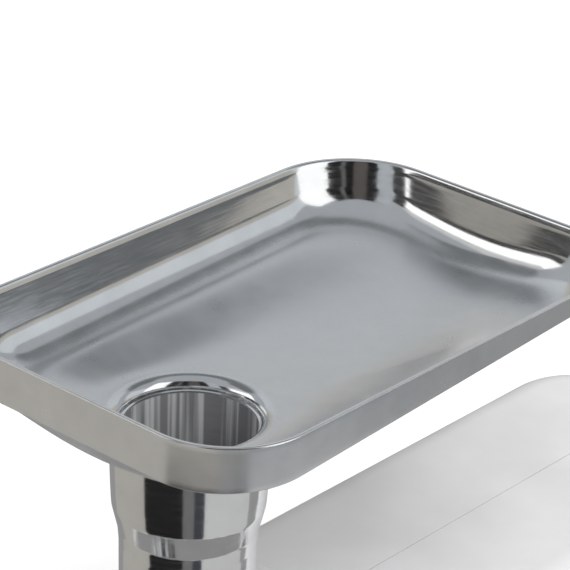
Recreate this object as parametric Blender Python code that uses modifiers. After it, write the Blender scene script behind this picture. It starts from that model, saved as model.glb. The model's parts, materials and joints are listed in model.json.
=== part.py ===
"""Electric meat grinder with a removable cast-aluminium head and food tray.

Frame: metres, +Z up, the feet stand on Z = 0. The meat comes out towards -Y, and X = 0 is the
plane on which the motor housing parts. Every shape below is written in world coordinates: a
turned piece's profile lists (radius, place along its axis) pairs.
"""

import math

import bmesh
import bpy
from mathutils import Vector

MM = 0.001
GAP = 0.3 * MM  # clearance between pieces that touch on the real object

# Driving dimensions
MOUTH_Y = -225 * MM  # front face of the ring nut
REAR_Y = 221.5 * MM  # rear face of the housing; the mains gland stands 3.5 mm proud of it
TUBE_Y = -125 * MM  # vertical axis of the feed throat
BARREL_Z = 138 * MM  # horizontal axis of the auger and of the output shaft
MOTOR_Z = 84 * MM  # axis of the motor

# Food tray, whose depths are taken from its rim
CUP_Z = 304 * MM  # narrowest ring of the tray's hole, where the feed cup begins
RIM_Z = CUP_Z + 38.6 * MM
TRAY_WIDTH = 163 * MM
TRAY_FRONT = TUBE_Y - 65 * MM
TRAY_REAR = TUBE_Y + 183 * MM
TRAY_WALL = 1.8 * MM
RIM_FRONT_RADIUS = 36 * MM
RIM_REAR_RADIUS = 41 * MM
CORNER_TIGHTENING = 0.45  # how much a corner's radius drops for each unit in from the outline
COVE_RADIUS = 17 * MM
COVE_CENTRE = 23.5 * MM  # in from the outline
WALL_LEAN = math.radians(19.5)  # the dish's wall from the vertical
DISH_DEPTH = 26.5 * MM  # at the floor's sides, level with the hole
DISH_RISE = 0.035  # the floor's slope up towards the rear
DISH_SAG = 5 * MM  # how much deeper the floor is along its middle
LAND_DEPTH = 33.2 * MM  # of the flat land round the hole
LAND_RADIUS = 34 * MM
BAND_DEPTH = 19 * MM  # of the rim band at the front
BAND_RISE = 0.049  # slope of the band's lower edge

# Motor housing
HOUSING_WIDTH = 140 * MM
HOUSING_TOP = 190 * MM
HOUSING_BOTTOM = 12 * MM
HOUSING_FRONT = TUBE_Y + 82 * MM
HOUSING_WALL = 3 * MM
TOP_FILLET = 20 * MM
REAR_CORNER = 45 * MM
FRONT_CORNER = 6 * MM
SEAM = 0.4 * MM
COVER_INSET = 7 * MM  # from the housing's outline to the front cover's
FOOT_PLACES = [(x * MM, y * MM) for x in (-57, 57) for y in (-22, 176)]
COVER_SCREW_PLACES = [(x * MM, z * MM) for x in (-40, 42) for z in (50, 172)]
SHELL_SCREW_PLACES = (("low", 52 * MM), ("high", 160 * MM))
SHELL_SCREW_Y = REAR_Y - 50 * MM
# (use, radius, start and end along X in millimetres) of the holes along a shell screw
SCREW_HEAD_HOLES = (("well", 4.3, -70, -8), ("way", 2.0, -9, 1))
SCREW_THREAD_HOLES = (("pilot", 1.9, -1, 13),)
SWITCH_Y = 75 * MM
SWITCH_Z = 70 * MM
ROCKER_DEPTH = 6 * MM  # from the housing's side to the rocker's pivot
VENT_SLOTS = 6  # in each side wall, and in each half of the rear wall
VENT_PITCH = 9 * MM
VENT_WIDTH = 4 * MM
GLAND_X = -15 * MM
GLAND_Z = 40 * MM

# Head
BARREL_RADIUS = 31 * MM
THREAD_RADIUS = 35.2 * MM
BORE_RADIUS = 26 * MM
THROAT_BORE = 24 * MM
CUP_BORE = 28.2 * MM
SPIGOT_RADIUS = 27.8 * MM
SPIGOT_BORE = 26.2 * MM
SPIGOT_LENGTH = 29 * MM
NECK_RADIUS = 22 * MM
JOURNAL_RADIUS = 8.7 * MM
PLATE_FRONT = MOUTH_Y + 8 * MM
PLATE_BACK = PLATE_FRONT + 7 * MM
PLATE_RADIUS = 31 * MM
FLIGHT_RADIUS = 25.2 * MM
FLIGHT_PITCH = 27 * MM
# (radius, place along Y) round the flight's section, wide at its root and narrow at its rim
FLIGHT_ROOT = 6 * MM
FLIGHT_SECTION = (
    (FLIGHT_ROOT, -3.5 * MM),
    (FLIGHT_RADIUS, -1.4 * MM),
    (FLIGHT_RADIUS, 1.4 * MM),
    (FLIGHT_ROOT, 3.5 * MM),
)

# Gear train: the motor's pinion drives wheel A, pinion A drives wheel B, pinion B drives the output
FIRST_MODULE = 1.25 * MM
SECOND_MODULE = 1.5 * MM
THIRD_MODULE = 2 * MM
MOTOR_TEETH = 9
WHEEL_A_TEETH = 36
PINION_A_TEETH = 9
WHEEL_B_TEETH = 36
PINION_B_TEETH = 10
OUTPUT_TEETH = 38
GEAR_B_ANGLE = math.radians(-55)  # direction of gear B's pin from the output shaft
ADDENDUM = 0.8  # in modules
DEDENDUM = 1.1
BACKLASH = 0.16
PINION_SLIM = 0.73  # narrows the small pinions' tooth tips so that they clear the wheels

# Motor
STATOR_FRONT = 68 * MM
STATOR_REAR = 118 * MM
ARMATURE_RADIUS = 21.5 * MM
MOTOR_BOLT_ACROSS = 27 * MM  # from the motor's axis, opposite ways for the two bolts
MOTOR_BOLT_UP = 33 * MM

# Roundness
LARGE_SIDES = 28
SMALL_SIDES = 16
SCREW_SIDES = 10
CORNER_STEPS = 5  # facets round a visible corner
INNER_CORNER_STEPS = 2

TURN_TO_AXIS = {
    "X": (0, math.radians(90), 0),
    "Y": (math.radians(-90), 0, 0),
    "Z": (0, 0, 0),
}
FACE_FRONT = (math.radians(90), 0, 0)  # a flat outline's (x, y) becomes (X, Z)

# name: (colour, roughness, metallic)
FINISHES = {
    "housing plastic": ((0.50, 0.50, 0.50), 0.45, 0.0),
    "front plastic": ((0.30, 0.30, 0.31), 0.50, 0.0),
    "black plastic": ((0.03, 0.03, 0.03), 0.40, 0.0),
    "switch plastic": ((0.45, 0.05, 0.04), 0.35, 0.0),
    "gear plastic": ((0.75, 0.73, 0.66), 0.50, 0.0),
    "polished aluminium": ((0.82, 0.82, 0.83), 0.18, 1.0),
    "cast aluminium": ((0.62, 0.62, 0.63), 0.45, 1.0),
    "bright steel": ((0.66, 0.66, 0.67), 0.25, 1.0),
    "zinc steel": ((0.60, 0.60, 0.58), 0.35, 1.0),
    "lamination steel": ((0.28, 0.28, 0.30), 0.50, 1.0),
    "copper": ((0.72, 0.33, 0.17), 0.35, 1.0),
    "bronze": ((0.55, 0.38, 0.18), 0.40, 1.0),
    "carbon": ((0.05, 0.05, 0.05), 0.70, 0.0),
    "rubber": ((0.04, 0.04, 0.04), 0.85, 0.0),
}


# ---------------------------------------------------------------- helpers


def clear_scene():
    for obj in list(bpy.data.objects):
        bpy.data.objects.remove(obj, do_unlink=True)


def new_collection(name):
    collection = bpy.data.collections.new(name)
    bpy.context.scene.collection.children.link(collection)
    return collection


def material_for(name, finish):
    colour, roughness, metallic = FINISHES[finish]
    material = bpy.data.materials.new(name + "_finish")
    material.use_nodes = True
    shader = material.node_tree.nodes["Principled BSDF"]
    shader.inputs["Base Color"].default_value = (*colour, 1)
    shader.inputs["Roughness"].default_value = roughness
    shader.inputs["Metallic"].default_value = metallic
    return material


def place(name, data, finish, location=(0, 0, 0), rotation=(0, 0, 0)):
    """A new object: a part with its finish, or a cutter when finish is None."""
    obj = bpy.data.objects.new(name, data)
    obj.location = location
    obj.rotation_euler = rotation
    if finish is None:
        cutters.objects.link(obj)
        obj.hide_render = True
        obj.display_type = "WIRE"
    else:
        parts.objects.link(obj)
        data.materials.append(material_for(name, finish))
    return obj


def mesh_object(name, bm, finish, location=(0, 0, 0), rotation=(0, 0, 0)):
    bmesh.ops.recalc_face_normals(bm, faces=bm.faces)
    mesh = bpy.data.meshes.new(name)
    bm.to_mesh(mesh)
    bm.free()
    mesh.shade_smooth()
    mesh.set_sharp_from_angle(angle=math.radians(30))
    return place(name, mesh, finish, location, rotation)


def add_box(bm, low, high):
    made = bmesh.ops.create_cube(bm, size=1)["verts"]
    low, high = Vector(low), Vector(high)
    bmesh.ops.scale(bm, vec=high - low, verts=made)
    bmesh.ops.translate(bm, vec=(low + high) / 2, verts=made)


def box(name, low, high, finish):
    """A box between two corners, in millimetres, with its origin at its centre."""
    low, high = Vector(low) * MM, Vector(high) * MM
    bm = bmesh.new()
    add_box(bm, (low - high) / 2, (high - low) / 2)
    return mesh_object(name, bm, finish, (low + high) / 2)


def turned(name, profile, finish, axis="Z", origin=(0, 0, 0), sides=SMALL_SIDES):
    """A profile in millimetres turned about the axis through origin. A profile that starts and ends
    on the axis makes a solid, and any other is closed into a ring."""
    mesh = bpy.data.meshes.new(name)
    count = len(profile)
    edges = [(i, i + 1) for i in range(count - 1)]
    if profile[0][0] > 0:
        edges.append((count - 1, 0))
    mesh.from_pydata([(radius * MM, 0, along * MM) for radius, along in profile], edges, [])
    obj = place(name, mesh, finish, origin, TURN_TO_AXIS[axis])
    screw = obj.modifiers.new("Turn", "SCREW")
    screw.steps = sides
    screw.render_steps = sides
    screw.use_merge_vertices = True
    screw.merge_threshold = 0.00001
    screw.use_smooth_shade = True
    return obj


def round_cutter(name, axis, origin, radius, start, end, sides=SMALL_SIDES):
    """A cylinder along the axis from start to end, in millimetres."""
    return turned(
        name,
        [(0, end), (radius, end), (radius, start), (0, start)],
        None,
        axis,
        origin,
        sides,
    )


def circle(radius, centre=(0, 0), count=SMALL_SIDES):
    turns = (2 * math.pi * i / count for i in range(count))
    return [
        (centre[0] + radius * math.cos(turn), centre[1] + radius * math.sin(turn))
        for turn in turns
    ]


def plate(name, outlines, low, high, finish, centre=(0, 0), rotation=FACE_FRONT):
    """Flat outlines, the first with the others as holes, from low to high along the thickness.
    With FACE_FRONT the outlines lie in (X, Z) about centre, and otherwise in (X, Y)."""
    curve = bpy.data.curves.new(name, "CURVE")
    curve.dimensions = "2D"
    curve.fill_mode = "BOTH"
    curve.extrude = (high - low) / 2
    for outline in outlines:
        line = curve.splines.new("POLY")
        line.points.add(len(outline) - 1)
        for point, (x, y) in zip(line.points, outline):
            point.co = (x, y, 0, 1)
        line.use_cyclic_u = True
    middle = (low + high) / 2
    if rotation == FACE_FRONT:
        location = (centre[0], middle, centre[1])
    else:
        location = (centre[0], centre[1], middle)
    return place(name, curve, finish, location, rotation)


def loft(name, rings, finish, ring_shaped=False, location=(0, 0, 0)):
    """A skin over rings of equal count. The ends are capped, or joined when ring_shaped."""
    bm = bmesh.new()
    rows = [[bm.verts.new(point) for point in ring] for ring in rings]
    count = len(rows[0])
    pairs = list(zip(rows, rows[1:]))
    if ring_shaped:
        pairs.append((rows[-1], rows[0]))
    for lower, upper in pairs:
        for i in range(count):
            j = (i + 1) % count
            bm.faces.new((lower[i], lower[j], upper[j], upper[i]))
    if not ring_shaped:
        bm.faces.new(rows[0])
        bm.faces.new(rows[-1])
    return mesh_object(name, bm, finish, location)


def boolean(obj, cutter, operation="DIFFERENCE", solver="EXACT"):
    modifier = obj.modifiers.new(cutter.name, "BOOLEAN")
    modifier.operation = operation
    modifier.solver = solver
    modifier.object = cutter


def rounded_outline(
    x0, x1, y0, y1, low_radius, high_radius, steps=CORNER_STEPS, between=1
):
    """A rectangle's outline, counter-clockwise, whose corners at y0 and at y1 have their own radii.
    Each straight side is divided into as many stretches as between says."""
    corners = (
        (x1 - low_radius, y0 + low_radius, low_radius, -90),
        (x1 - high_radius, y1 - high_radius, high_radius, 0),
        (x0 + high_radius, y1 - high_radius, high_radius, 90),
        (x0 + low_radius, y0 + low_radius, low_radius, 180),
    )
    arcs = []
    for x, y, radius, start in corners:
        turns = (math.radians(start + 90 * step / steps) for step in range(steps + 1))
        arcs.append([(x + radius * math.cos(t), y + radius * math.sin(t)) for t in turns])
    outline = []
    for arc, following in zip(arcs, arcs[1:] + arcs[:1]):
        end, start = Vector(arc[-1]), Vector(following[0])
        outline += arc
        outline += [tuple(end.lerp(start, step / between)) for step in range(1, between)]
    return outline


def pivot(name, location):
    """An empty on a joint's axis, for the pieces that move together."""
    empty = bpy.data.objects.new(name, None)
    empty.location = location
    parts.objects.link(empty)
    return empty


def hang(parent, *children):
    for child in children:
        child.parent = parent
        child.location -= parent.location


# ---------------------------------------------------------------- food tray


def tray_outline(inset):
    tightening = CORNER_TIGHTENING * inset
    return rounded_outline(
        inset - TRAY_WIDTH / 2,
        TRAY_WIDTH / 2 - inset,
        TRAY_FRONT + inset,
        TRAY_REAR - inset,
        RIM_FRONT_RADIUS - tightening,
        RIM_REAR_RADIUS - tightening,
        between=4,
    )


def floor_z(x, y):
    """Height of the dish's floor, which falls towards the front and towards its middle."""
    across = min(1, abs(x) / (TRAY_WIDTH / 2 - COVE_CENTRE))
    return RIM_Z - DISH_DEPTH + DISH_RISE * (y - TUBE_Y) - DISH_SAG * (1 - across**2) ** 2


def floor_rings(thickness):
    """Rings from the land round the hole out to the cove's foot, with a thickness below the dish."""
    edge = tray_outline(COVE_CENTRE)
    rings = []
    for share in (0, 0.35, 0.7):
        ring = []
        for x, y in edge:
            away = Vector((x, y - TUBE_Y))
            place = away.normalized() * LAND_RADIUS
            place = place.lerp(away, share) + Vector((0, TUBE_Y))
            height = floor_z(*place) if share else RIM_Z - LAND_DEPTH
            ring.append((*place, height - thickness))
        rings.append(ring)
    return rings


def cove_rings(radius, first, last, steps):
    """Rings round the cove's arc, from one angle to another above the vertical downwards."""
    rings = []
    for step in range(steps + 1):
        angle = first + (last - first) * step / steps
        rise = COVE_RADIUS - radius * math.cos(angle)
        outline = tray_outline(COVE_CENTRE - radius * math.sin(angle))
        rings.append([(x, y, floor_z(x, y) + rise) for x, y in outline])
    return rings


def rim_ring(inset, depth):
    return [(x, y, RIM_Z - depth) for x, y in tray_outline(inset)]


def band_ring(inset, lift):
    """A ring near the band's lower edge, which climbs towards the rear."""
    low = RIM_Z - BAND_DEPTH + lift
    return [(x, y, low + BAND_RISE * (y - TRAY_FRONT)) for x, y in tray_outline(inset)]


def make_tray():
    rings = floor_rings(TRAY_WALL)
    rings += cove_rings(COVE_RADIUS + TRAY_WALL, 0, math.radians(60), 4)
    rings += [
        band_ring(2.4 * MM, 0),
        band_ring(0.8 * MM, 0),
        band_ring(0, 0.8 * MM),
        rim_ring(0, 1 * MM),
        rim_ring(0.8 * MM, 0),
        rim_ring(2.0 * MM, 0),
        rim_ring(2.7 * MM, 1 * MM),
    ]
    rings += cove_rings(COVE_RADIUS, math.pi / 2 - WALL_LEAN, 0, 5)
    rings += reversed(floor_rings(0))
    tray = loft("tray", rings, "polished aluminium")
    cup, land, axis = CUP_Z / MM, (RIM_Z - LAND_DEPTH) / MM, (0, TUBE_Y, 0)
    spigot_end = cup - SPIGOT_LENGTH / MM
    spigot = turned(
        "tray_spigot_blank",
        [
            (0, land - 0.9),
            (35, land - 0.9),
            (33, cup - 1.2),
            (31.5, cup - 6.6),
            (SPIGOT_RADIUS / MM, cup - 6.6),
            (SPIGOT_RADIUS / MM, spigot_end),
            (0, spigot_end),
        ],
        None,
        "Z",
        axis,
        LARGE_SIDES,
    )
    hole = turned(
        "tray_hole_cutter",
        [
            (0, land + 1),
            (30.2, land + 1),
            (29.8, land),
            (28.2, land - 0.8),
            (26.9, land - 2.5),
            (SPIGOT_BORE / MM, cup),
            (SPIGOT_BORE / MM, spigot_end - 1),
            (0, spigot_end - 1),
        ],
        None,
        "Z",
        axis,
        LARGE_SIDES,
    )
    boolean(tray, spigot, "UNION")
    boolean(tray, hole)
    return tray


# ---------------------------------------------------------------- head


def make_head_casting():
    front = PLATE_FRONT / MM + 1.5
    head = turned(
        "head_casting",
        [
            (0, -50),
            (NECK_RADIUS / MM, -50),
            (NECK_RADIUS / MM, -80),
            (BARREL_RADIUS / MM, -85),
            (BARREL_RADIUS / MM, -188),
            (THREAD_RADIUS / MM, -190.5),
            (THREAD_RADIUS / MM, front),
            (0, front),
        ],
        "polished aluminium",
        "Y",
        (0, 0, BARREL_Z),
        LARGE_SIDES,
    )
    cup, axis = CUP_Z / MM, (0, TUBE_Y, 0)
    throat = turned(
        "throat_blank",
        [
            (0, cup - 7),
            (31.3, cup - 7),
            (31, cup - 20),
            (30, cup - 31),
            (28.7, cup - 38),
            (27.4, cup - 44),
            (26.75, cup - 63),
            (26.4, 177),
            (28.2, 168),
            (28.2, BARREL_Z / MM),
            (0, BARREL_Z / MM),
        ],
        None,
        "Z",
        axis,
        LARGE_SIDES,
    )
    throat_bore = turned(
        "throat_bore_cutter",
        [
            (0, cup - 6),
            (CUP_BORE / MM, cup - 6),
            (CUP_BORE / MM, cup - 30),
            (THROAT_BORE / MM, cup - 34),
            (THROAT_BORE / MM, BARREL_Z / MM - 5),
            (0, BARREL_Z / MM - 5),
        ],
        None,
        "Z",
        axis,
        LARGE_SIDES,
    )
    seat = (PLATE_BACK + GAP) / MM
    barrel_bore = turned(
        "barrel_bore_cutter",
        [
            (0, -49),
            (9.1, -49),
            (9.1, -92),
            (BORE_RADIUS / MM, -92),
            (BORE_RADIUS / MM, seat),
            (31.5, seat),
            (31.5, front - 1),
            (0, front - 1),
        ],
        None,
        "Y",
        (0, 0, BARREL_Z),
        LARGE_SIDES,
    )
    boolean(head, throat, "UNION")
    boolean(head, throat_bore)
    boolean(head, barrel_bore, solver="MANIFOLD")
    return head


def make_grinding_plate():
    holes = []
    for ring_radius, count in ((12 * MM, 7), (20.5 * MM, 13)):
        for i in range(count):
            turn = 2 * math.pi * i / count
            centre = (ring_radius * math.cos(turn), ring_radius * math.sin(turn))
            holes.append(circle(3.6 * MM, centre, 8))
    outlines = [circle(PLATE_RADIUS, count=LARGE_SIDES), circle(4.4 * MM, count=SCREW_SIDES)]
    return plate(
        "grinding_plate",
        outlines + holes,
        PLATE_FRONT,
        PLATE_BACK,
        "bright steel",
        (0, BARREL_Z),
    )


def make_knife():
    """A four-arm knife with a square hole for the auger's nose."""
    outline = []
    for arm in range(4):
        turn = math.pi / 2 * arm
        for radius, offset in ((24.6, -0.17), (24.6, 0.17), (10.5, 0.42), (10.5, 1.15)):
            angle = turn + offset
            outline.append((radius * MM * math.cos(angle), radius * MM * math.sin(angle)))
    half = 4.8 * MM  # of the square hole, 0.3 mm larger than the auger's nose
    square = [(x * half, y * half) for x, y in ((1, 1), (-1, 1), (-1, -1), (1, -1))]
    low = PLATE_BACK + GAP
    return plate(
        "knife", [outline, square], low, low + 9 * MM, "bright steel", (0, BARREL_Z)
    )


def make_auger():
    """The core with its nose, journal and hexagonal drive end, joined to one long helical flight."""
    z = BARREL_Z
    nose = PLATE_FRONT / MM
    core = turned(
        "auger",
        [
            (0, -50),
            (JOURNAL_RADIUS / MM, -50),
            (JOURNAL_RADIUS / MM, -95.5),
            (13, -95.5),
            (9.5, -198),
            (4, -198),
            (4, nose),
            (0, nose),
        ],
        "cast aluminium",
        "Y",
        (0, 0, z),
        SMALL_SIDES,
    )
    steps_per_turn = 16
    first, last = -194 * MM, -99.5 * MM
    steps = round((last - first) / FLIGHT_PITCH * steps_per_turn)
    sections = []
    for step in range(steps + 1):
        turn = 2 * math.pi * step / steps_per_turn
        y = first + (last - first) * step / steps
        section = [
            (radius * math.cos(turn), y + along, radius * math.sin(turn))
            for radius, along in FLIGHT_SECTION
        ]
        sections.append(section)
    flight = loft("auger_flight_blank", sections, None, location=(0, 0, z))
    middle = z / MM
    low, high = (-4.5, -208.5, middle - 4.5), (4.5, -197, middle + 4.5)
    nose_block = box("auger_nose_blank", low, high, None)
    hexagon = turned(
        "auger_hexagon_blank",
        [(0, -36), (5.7, -36), (5.7, -51), (0, -51)],
        None,
        "Y",
        (0, 0, z),
        6,
    )
    for blank in (flight, nose_block, hexagon):
        boolean(core, blank, "UNION")
    return core


def make_thrust_washer():
    return turned(
        "thrust_washer",
        [(16, -92.3), (16, -95.2), (9.2, -95.2), (9.2, -92.3)],
        "gear plastic",
        "Y",
        (0, 0, BARREL_Z),
    )


def make_ring_nut():
    """A lobed nut with an inner lip that holds the grinding plate."""
    lobes, around = 12, 48
    lip_back = PLATE_FRONT / MM - 0.3
    front, back = MOUTH_Y / MM, -192
    # (radius, how far the lobes stand out, place along Y)
    sections = (
        (39.5, 0.0, back),
        (40.0, 2.2, back - 2),
        (40.0, 2.2, front + 7),
        (38.0, 1.2, front + 2),
        (35.5, 0.0, front),
        (27.0, 0.0, front),
        (25.5, 0.0, front + 2),
        (25.5, 0.0, lip_back),
        (35.8, 0.0, lip_back),
        (35.8, 0.0, back),
    )
    rings = []
    for radius, lobe, along in sections:
        ring = []
        for i in range(around):
            turn = 2 * math.pi * i / around
            out = (radius + lobe * math.cos(lobes * turn)) * MM
            ring.append((out * math.cos(turn), along * MM, out * math.sin(turn)))
        rings.append(ring)
    return loft(
        "ring_nut", rings, "polished aluminium", ring_shaped=True, location=(0, 0, BARREL_Z)
    )


# ---------------------------------------------------------------- housing


def housing_rings(wall, bottom):
    """Rings up the housing's skin, or up its hollow when wall is not 0."""
    half = HOUSING_WIDTH / 2 - wall
    front, rear = HOUSING_FRONT + wall, REAR_Y - wall
    fillet = TOP_FILLET - wall
    shoulder = HOUSING_TOP - TOP_FILLET
    levels = [(0, bottom), (0, shoulder)]
    if wall == 0:
        levels[0] = (1.5 * MM, bottom)
        levels.insert(1, (0, bottom + 2 * MM))
    steps = 6
    for step in range(1, steps + 1):
        angle = math.pi / 2 * step / steps
        levels.append((fillet * (1 - math.cos(angle)), shoulder + fillet * math.sin(angle)))
    rings = []
    for inset, z in levels:
        outline = rounded_outline(
            inset - half,
            half - inset,
            front + inset * 0.1,
            rear - inset,
            FRONT_CORNER - wall,
            REAR_CORNER - wall - inset,
        )
        rings.append([(x, y, z) for x, y in outline])
    return rings


def cover_outline(inset):
    """The front cover's outline in (X, Z)."""
    half = HOUSING_WIDTH / 2 - COVER_INSET - inset
    return rounded_outline(
        -half,
        half,
        HOUSING_BOTTOM + COVER_INSET + inset,
        HOUSING_TOP - COVER_INSET - inset,
        6 * MM - inset,
        TOP_FILLET - COVER_INSET - inset,
    )


def vent_cutter(name, side):
    """Upright slots in the side wall and level slots in the rear wall."""
    bm = bmesh.new()
    wall = side * (HOUSING_WIDTH / 2 - 1 * MM)
    for i in range(VENT_SLOTS):
        y = 112 * MM + i * VENT_PITCH
        low = (wall - 4 * MM, y, 60 * MM)
        high = (wall + 4 * MM, y + VENT_WIDTH, 115 * MM)
        add_box(bm, low, high)
    for i in range(VENT_SLOTS):
        z = 70 * MM + i * VENT_PITCH
        ends = sorted((side * 4 * MM, side * 22 * MM))
        low = (ends[0], REAR_Y - 6 * MM, z)
        high = (ends[1], REAR_Y + 3 * MM, z + VENT_WIDTH)
        add_box(bm, low, high)
    return mesh_object(name, bm, None)


def make_shell(name, side):
    """One half of the housing: side is -1 for the left half and 1 for the right half."""
    shell = loft(name, housing_rings(0, HOUSING_BOTTOM), "housing plastic")
    hollow = loft(name + "_hollow_cutter", housing_rings(HOUSING_WALL, HOUSING_BOTTOM - 3 * MM), None)
    boolean(shell, hollow)
    opening_rings = [
        [(x, y, z) for x, z in cover_outline(0)]
        for y in (HOUSING_FRONT - 3 * MM, HOUSING_FRONT + 9 * MM)
    ]
    boolean(shell, loft(name + "_front_cutter", opening_rings, None))
    for x, y in FOOT_PLACES:
        if x * side < 0:
            continue
        tag = f"{name}_{'front' if y < 0 else 'rear'}"
        boss = turned(
            tag + "_boss_blank",
            [(0, 36.4), (7, 36.4), (11.5, 28), (11.5, 16.4), (0, 16.4)],
            None,
            "Z",
            (x, y, 0),
            SMALL_SIDES,
        )
        pilot = round_cutter(tag + "_pilot", "Z", (x, y, 0), 1.9, 10, 32, SCREW_SIDES)
        boolean(shell, boss, "UNION")
        boolean(shell, pilot)
    for height, z in SHELL_SCREW_PLACES:
        origin = (0, SHELL_SCREW_Y, z)
        post_end = side * 68.5
        ends = sorted((side * -2, post_end))
        post = turned(
            f"{name}_{height}_post_blank",
            [(0, ends[1]), (6, ends[1]), (6, ends[0]), (0, ends[0])],
            None,
            "X",
            origin,
            SCREW_SIDES,
        )
        boolean(shell, post, "UNION", solver="MANIFOLD")
        holes = SCREW_HEAD_HOLES if side < 0 else SCREW_THREAD_HOLES
        for use, radius, start, end in holes:
            tag = f"{name}_{height}_{use}"
            boolean(shell, round_cutter(tag, "X", origin, radius, start, end, SCREW_SIDES))
    boolean(shell, vent_cutter(name + "_vent_cutter", side))
    if side > 0:
        y, z = SWITCH_Y / MM, SWITCH_Z / MM
        low, high = (60, y - 16.5, z - 11.5), (75, y + 16.5, z + 11.5)
        boolean(shell, box("switch_opening_cutter", low, high, None))
    else:
        wall = REAR_Y / MM
        origin = (GLAND_X, 0, GLAND_Z)
        boolean(shell, round_cutter("gland_opening_cutter", "Y", origin, 6.3, wall - 7, wall + 8))
    other_half = sorted((side * SEAM / 2, -side * 100 * MM))
    bm = bmesh.new()
    add_box(bm, (other_half[0], -60 * MM, -10 * MM), (other_half[1], 240 * MM, 210 * MM))
    boolean(shell, mesh_object(name + "_half_cutter", bm, None))
    return shell


def make_front_cover():
    holes = [circle(1.8 * MM, place_xz, SCREW_SIDES) for place_xz in COVER_SCREW_PLACES]
    return plate(
        "front_cover",
        [cover_outline(GAP), circle(30.4 * MM, (0, BARREL_Z), LARGE_SIDES)] + holes,
        HOUSING_FRONT,
        HOUSING_FRONT + 3.5 * MM,
        "front plastic",
    )


def make_base_plate():
    clear = HOUSING_WALL + GAP
    outline = rounded_outline(
        clear - HOUSING_WIDTH / 2,
        HOUSING_WIDTH / 2 - clear,
        HOUSING_FRONT + clear,
        REAR_Y - clear,
        FRONT_CORNER - HOUSING_WALL,
        REAR_CORNER - HOUSING_WALL,
    )
    holes = [circle(2.0 * MM, centre, SCREW_SIDES) for centre in FOOT_PLACES]
    slots = []
    for i in range(6):
        x = (-27.5 + 10 * i) * MM
        slots.append(
            [(x, 60 * MM), (x + 5 * MM, 60 * MM), (x + 5 * MM, 110 * MM), (x, 110 * MM)]
        )
    return plate(
        "base_plate",
        [outline] + holes + slots,
        13 * MM,
        16 * MM,
        "black plastic",
        rotation=(0, 0, 0),
    )


def make_feet():
    for x, y in FOOT_PLACES:
        where = f"{'front' if y < 0 else 'rear'}_{'left' if x < 0 else 'right'}"
        turned(
            "foot_" + where,
            [
                (9.4, 12.7),
                (9.4, 11.6),
                (11.8, 11.6),
                (10.5, 0),
                (5.5, 0),
                (5.5, 6.5),
                (2.1, 6.5),
                (2.1, 12.7),
            ],
            "rubber",
            "Z",
            (x, y, 0),
        )
        turned(
            "foot_screw_" + where,
            [(0, 26), (1.6, 26), (1.6, 6.2), (4.4, 6.2), (4.4, 4), (3.2, 3.2), (0, 3.2)],
            "zinc steel",
            "Z",
            (x, y, 0),
            SCREW_SIDES,
        )


def make_cover_screws():
    head = HOUSING_FRONT / MM - 0.3
    for x, z in COVER_SCREW_PLACES:
        where = f"{'low' if z < BARREL_Z else 'high'}_{'left' if x < 0 else 'right'}"
        turned(
            "cover_screw_" + where,
            [
                (0, head + 11),
                (1.5, head + 11),
                (1.5, head),
                (3.4, head),
                (3.0, head - 1.6),
                (0, head - 2),
            ],
            "zinc steel",
            "Y",
            (x, 0, z),
            SCREW_SIDES,
        )


def make_shell_screws():
    for height, z in SHELL_SCREW_PLACES:
        turned(
            "shell_screw_" + height,
            [(0, 11), (1.6, 11), (1.6, -8.3), (3.8, -8.3), (3.8, -11), (0, -11)],
            "zinc steel",
            "X",
            (0, SHELL_SCREW_Y, z),
            SCREW_SIDES,
        )


def make_head_socket():
    """A flanged aluminium cup for the head's neck, with a threaded hole for the lock knob."""
    socket = turned(
        "head_socket",
        [
            (30, -35.4),
            (30, HOUSING_FRONT / MM - 0.3),
            (37, HOUSING_FRONT / MM - 0.3),
            (37, -47.5),
            (31, -49),
            (30, -68),
            (27, -70),
            (22.6, -70),
            (22.6, -48),
            (14, -48),
            (14, -35.4),
        ],
        "cast aluminium",
        "Y",
        (0, 0, BARREL_Z),
        LARGE_SIDES,
    )
    boolean(
        socket,
        round_cutter("lock_hole_cutter", "X", (0, -58 * MM, BARREL_Z), 3.4, -34, -20, SCREW_SIDES),
    )
    return socket


def make_lock_knob():
    """A screw through the socket's wall with a five-lobed knob outside."""
    knob = turned(
        "lock_knob",
        [(0, -22.6), (3, -22.6), (3, -33), (6, -33), (6, -40), (0, -40)],
        "black plastic",
        "X",
        (0, -58 * MM, BARREL_Z),
        SCREW_SIDES,
    )
    rings = []
    for along, radius in ((-37, 10.5), (-38.5, 12), (-50, 12), (-52, 10)):
        ring = []
        for i in range(30):
            turn = 2 * math.pi * i / 30
            out = (radius + 1.6 * math.cos(5 * turn)) * MM
            ring.append((along * MM, out * math.cos(turn), out * math.sin(turn)))
        rings.append(ring)
    grip = loft("lock_grip_blank", rings, None, location=(0, -58 * MM, BARREL_Z))
    boolean(knob, grip, "UNION")
    return knob


def make_cord_gland():
    wall = REAR_Y / MM
    return turned(
        "cord_gland",
        [
            (7, wall + 3.5),
            (9, wall + 2.4),
            (9, wall + 0.3),
            (6, wall + 0.3),
            (6, wall - 6),
            (4, wall - 7),
            (4, wall + 3.5),
        ],
        "black plastic",
        "Y",
        (GLAND_X, 0, GLAND_Z),
    )


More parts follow.
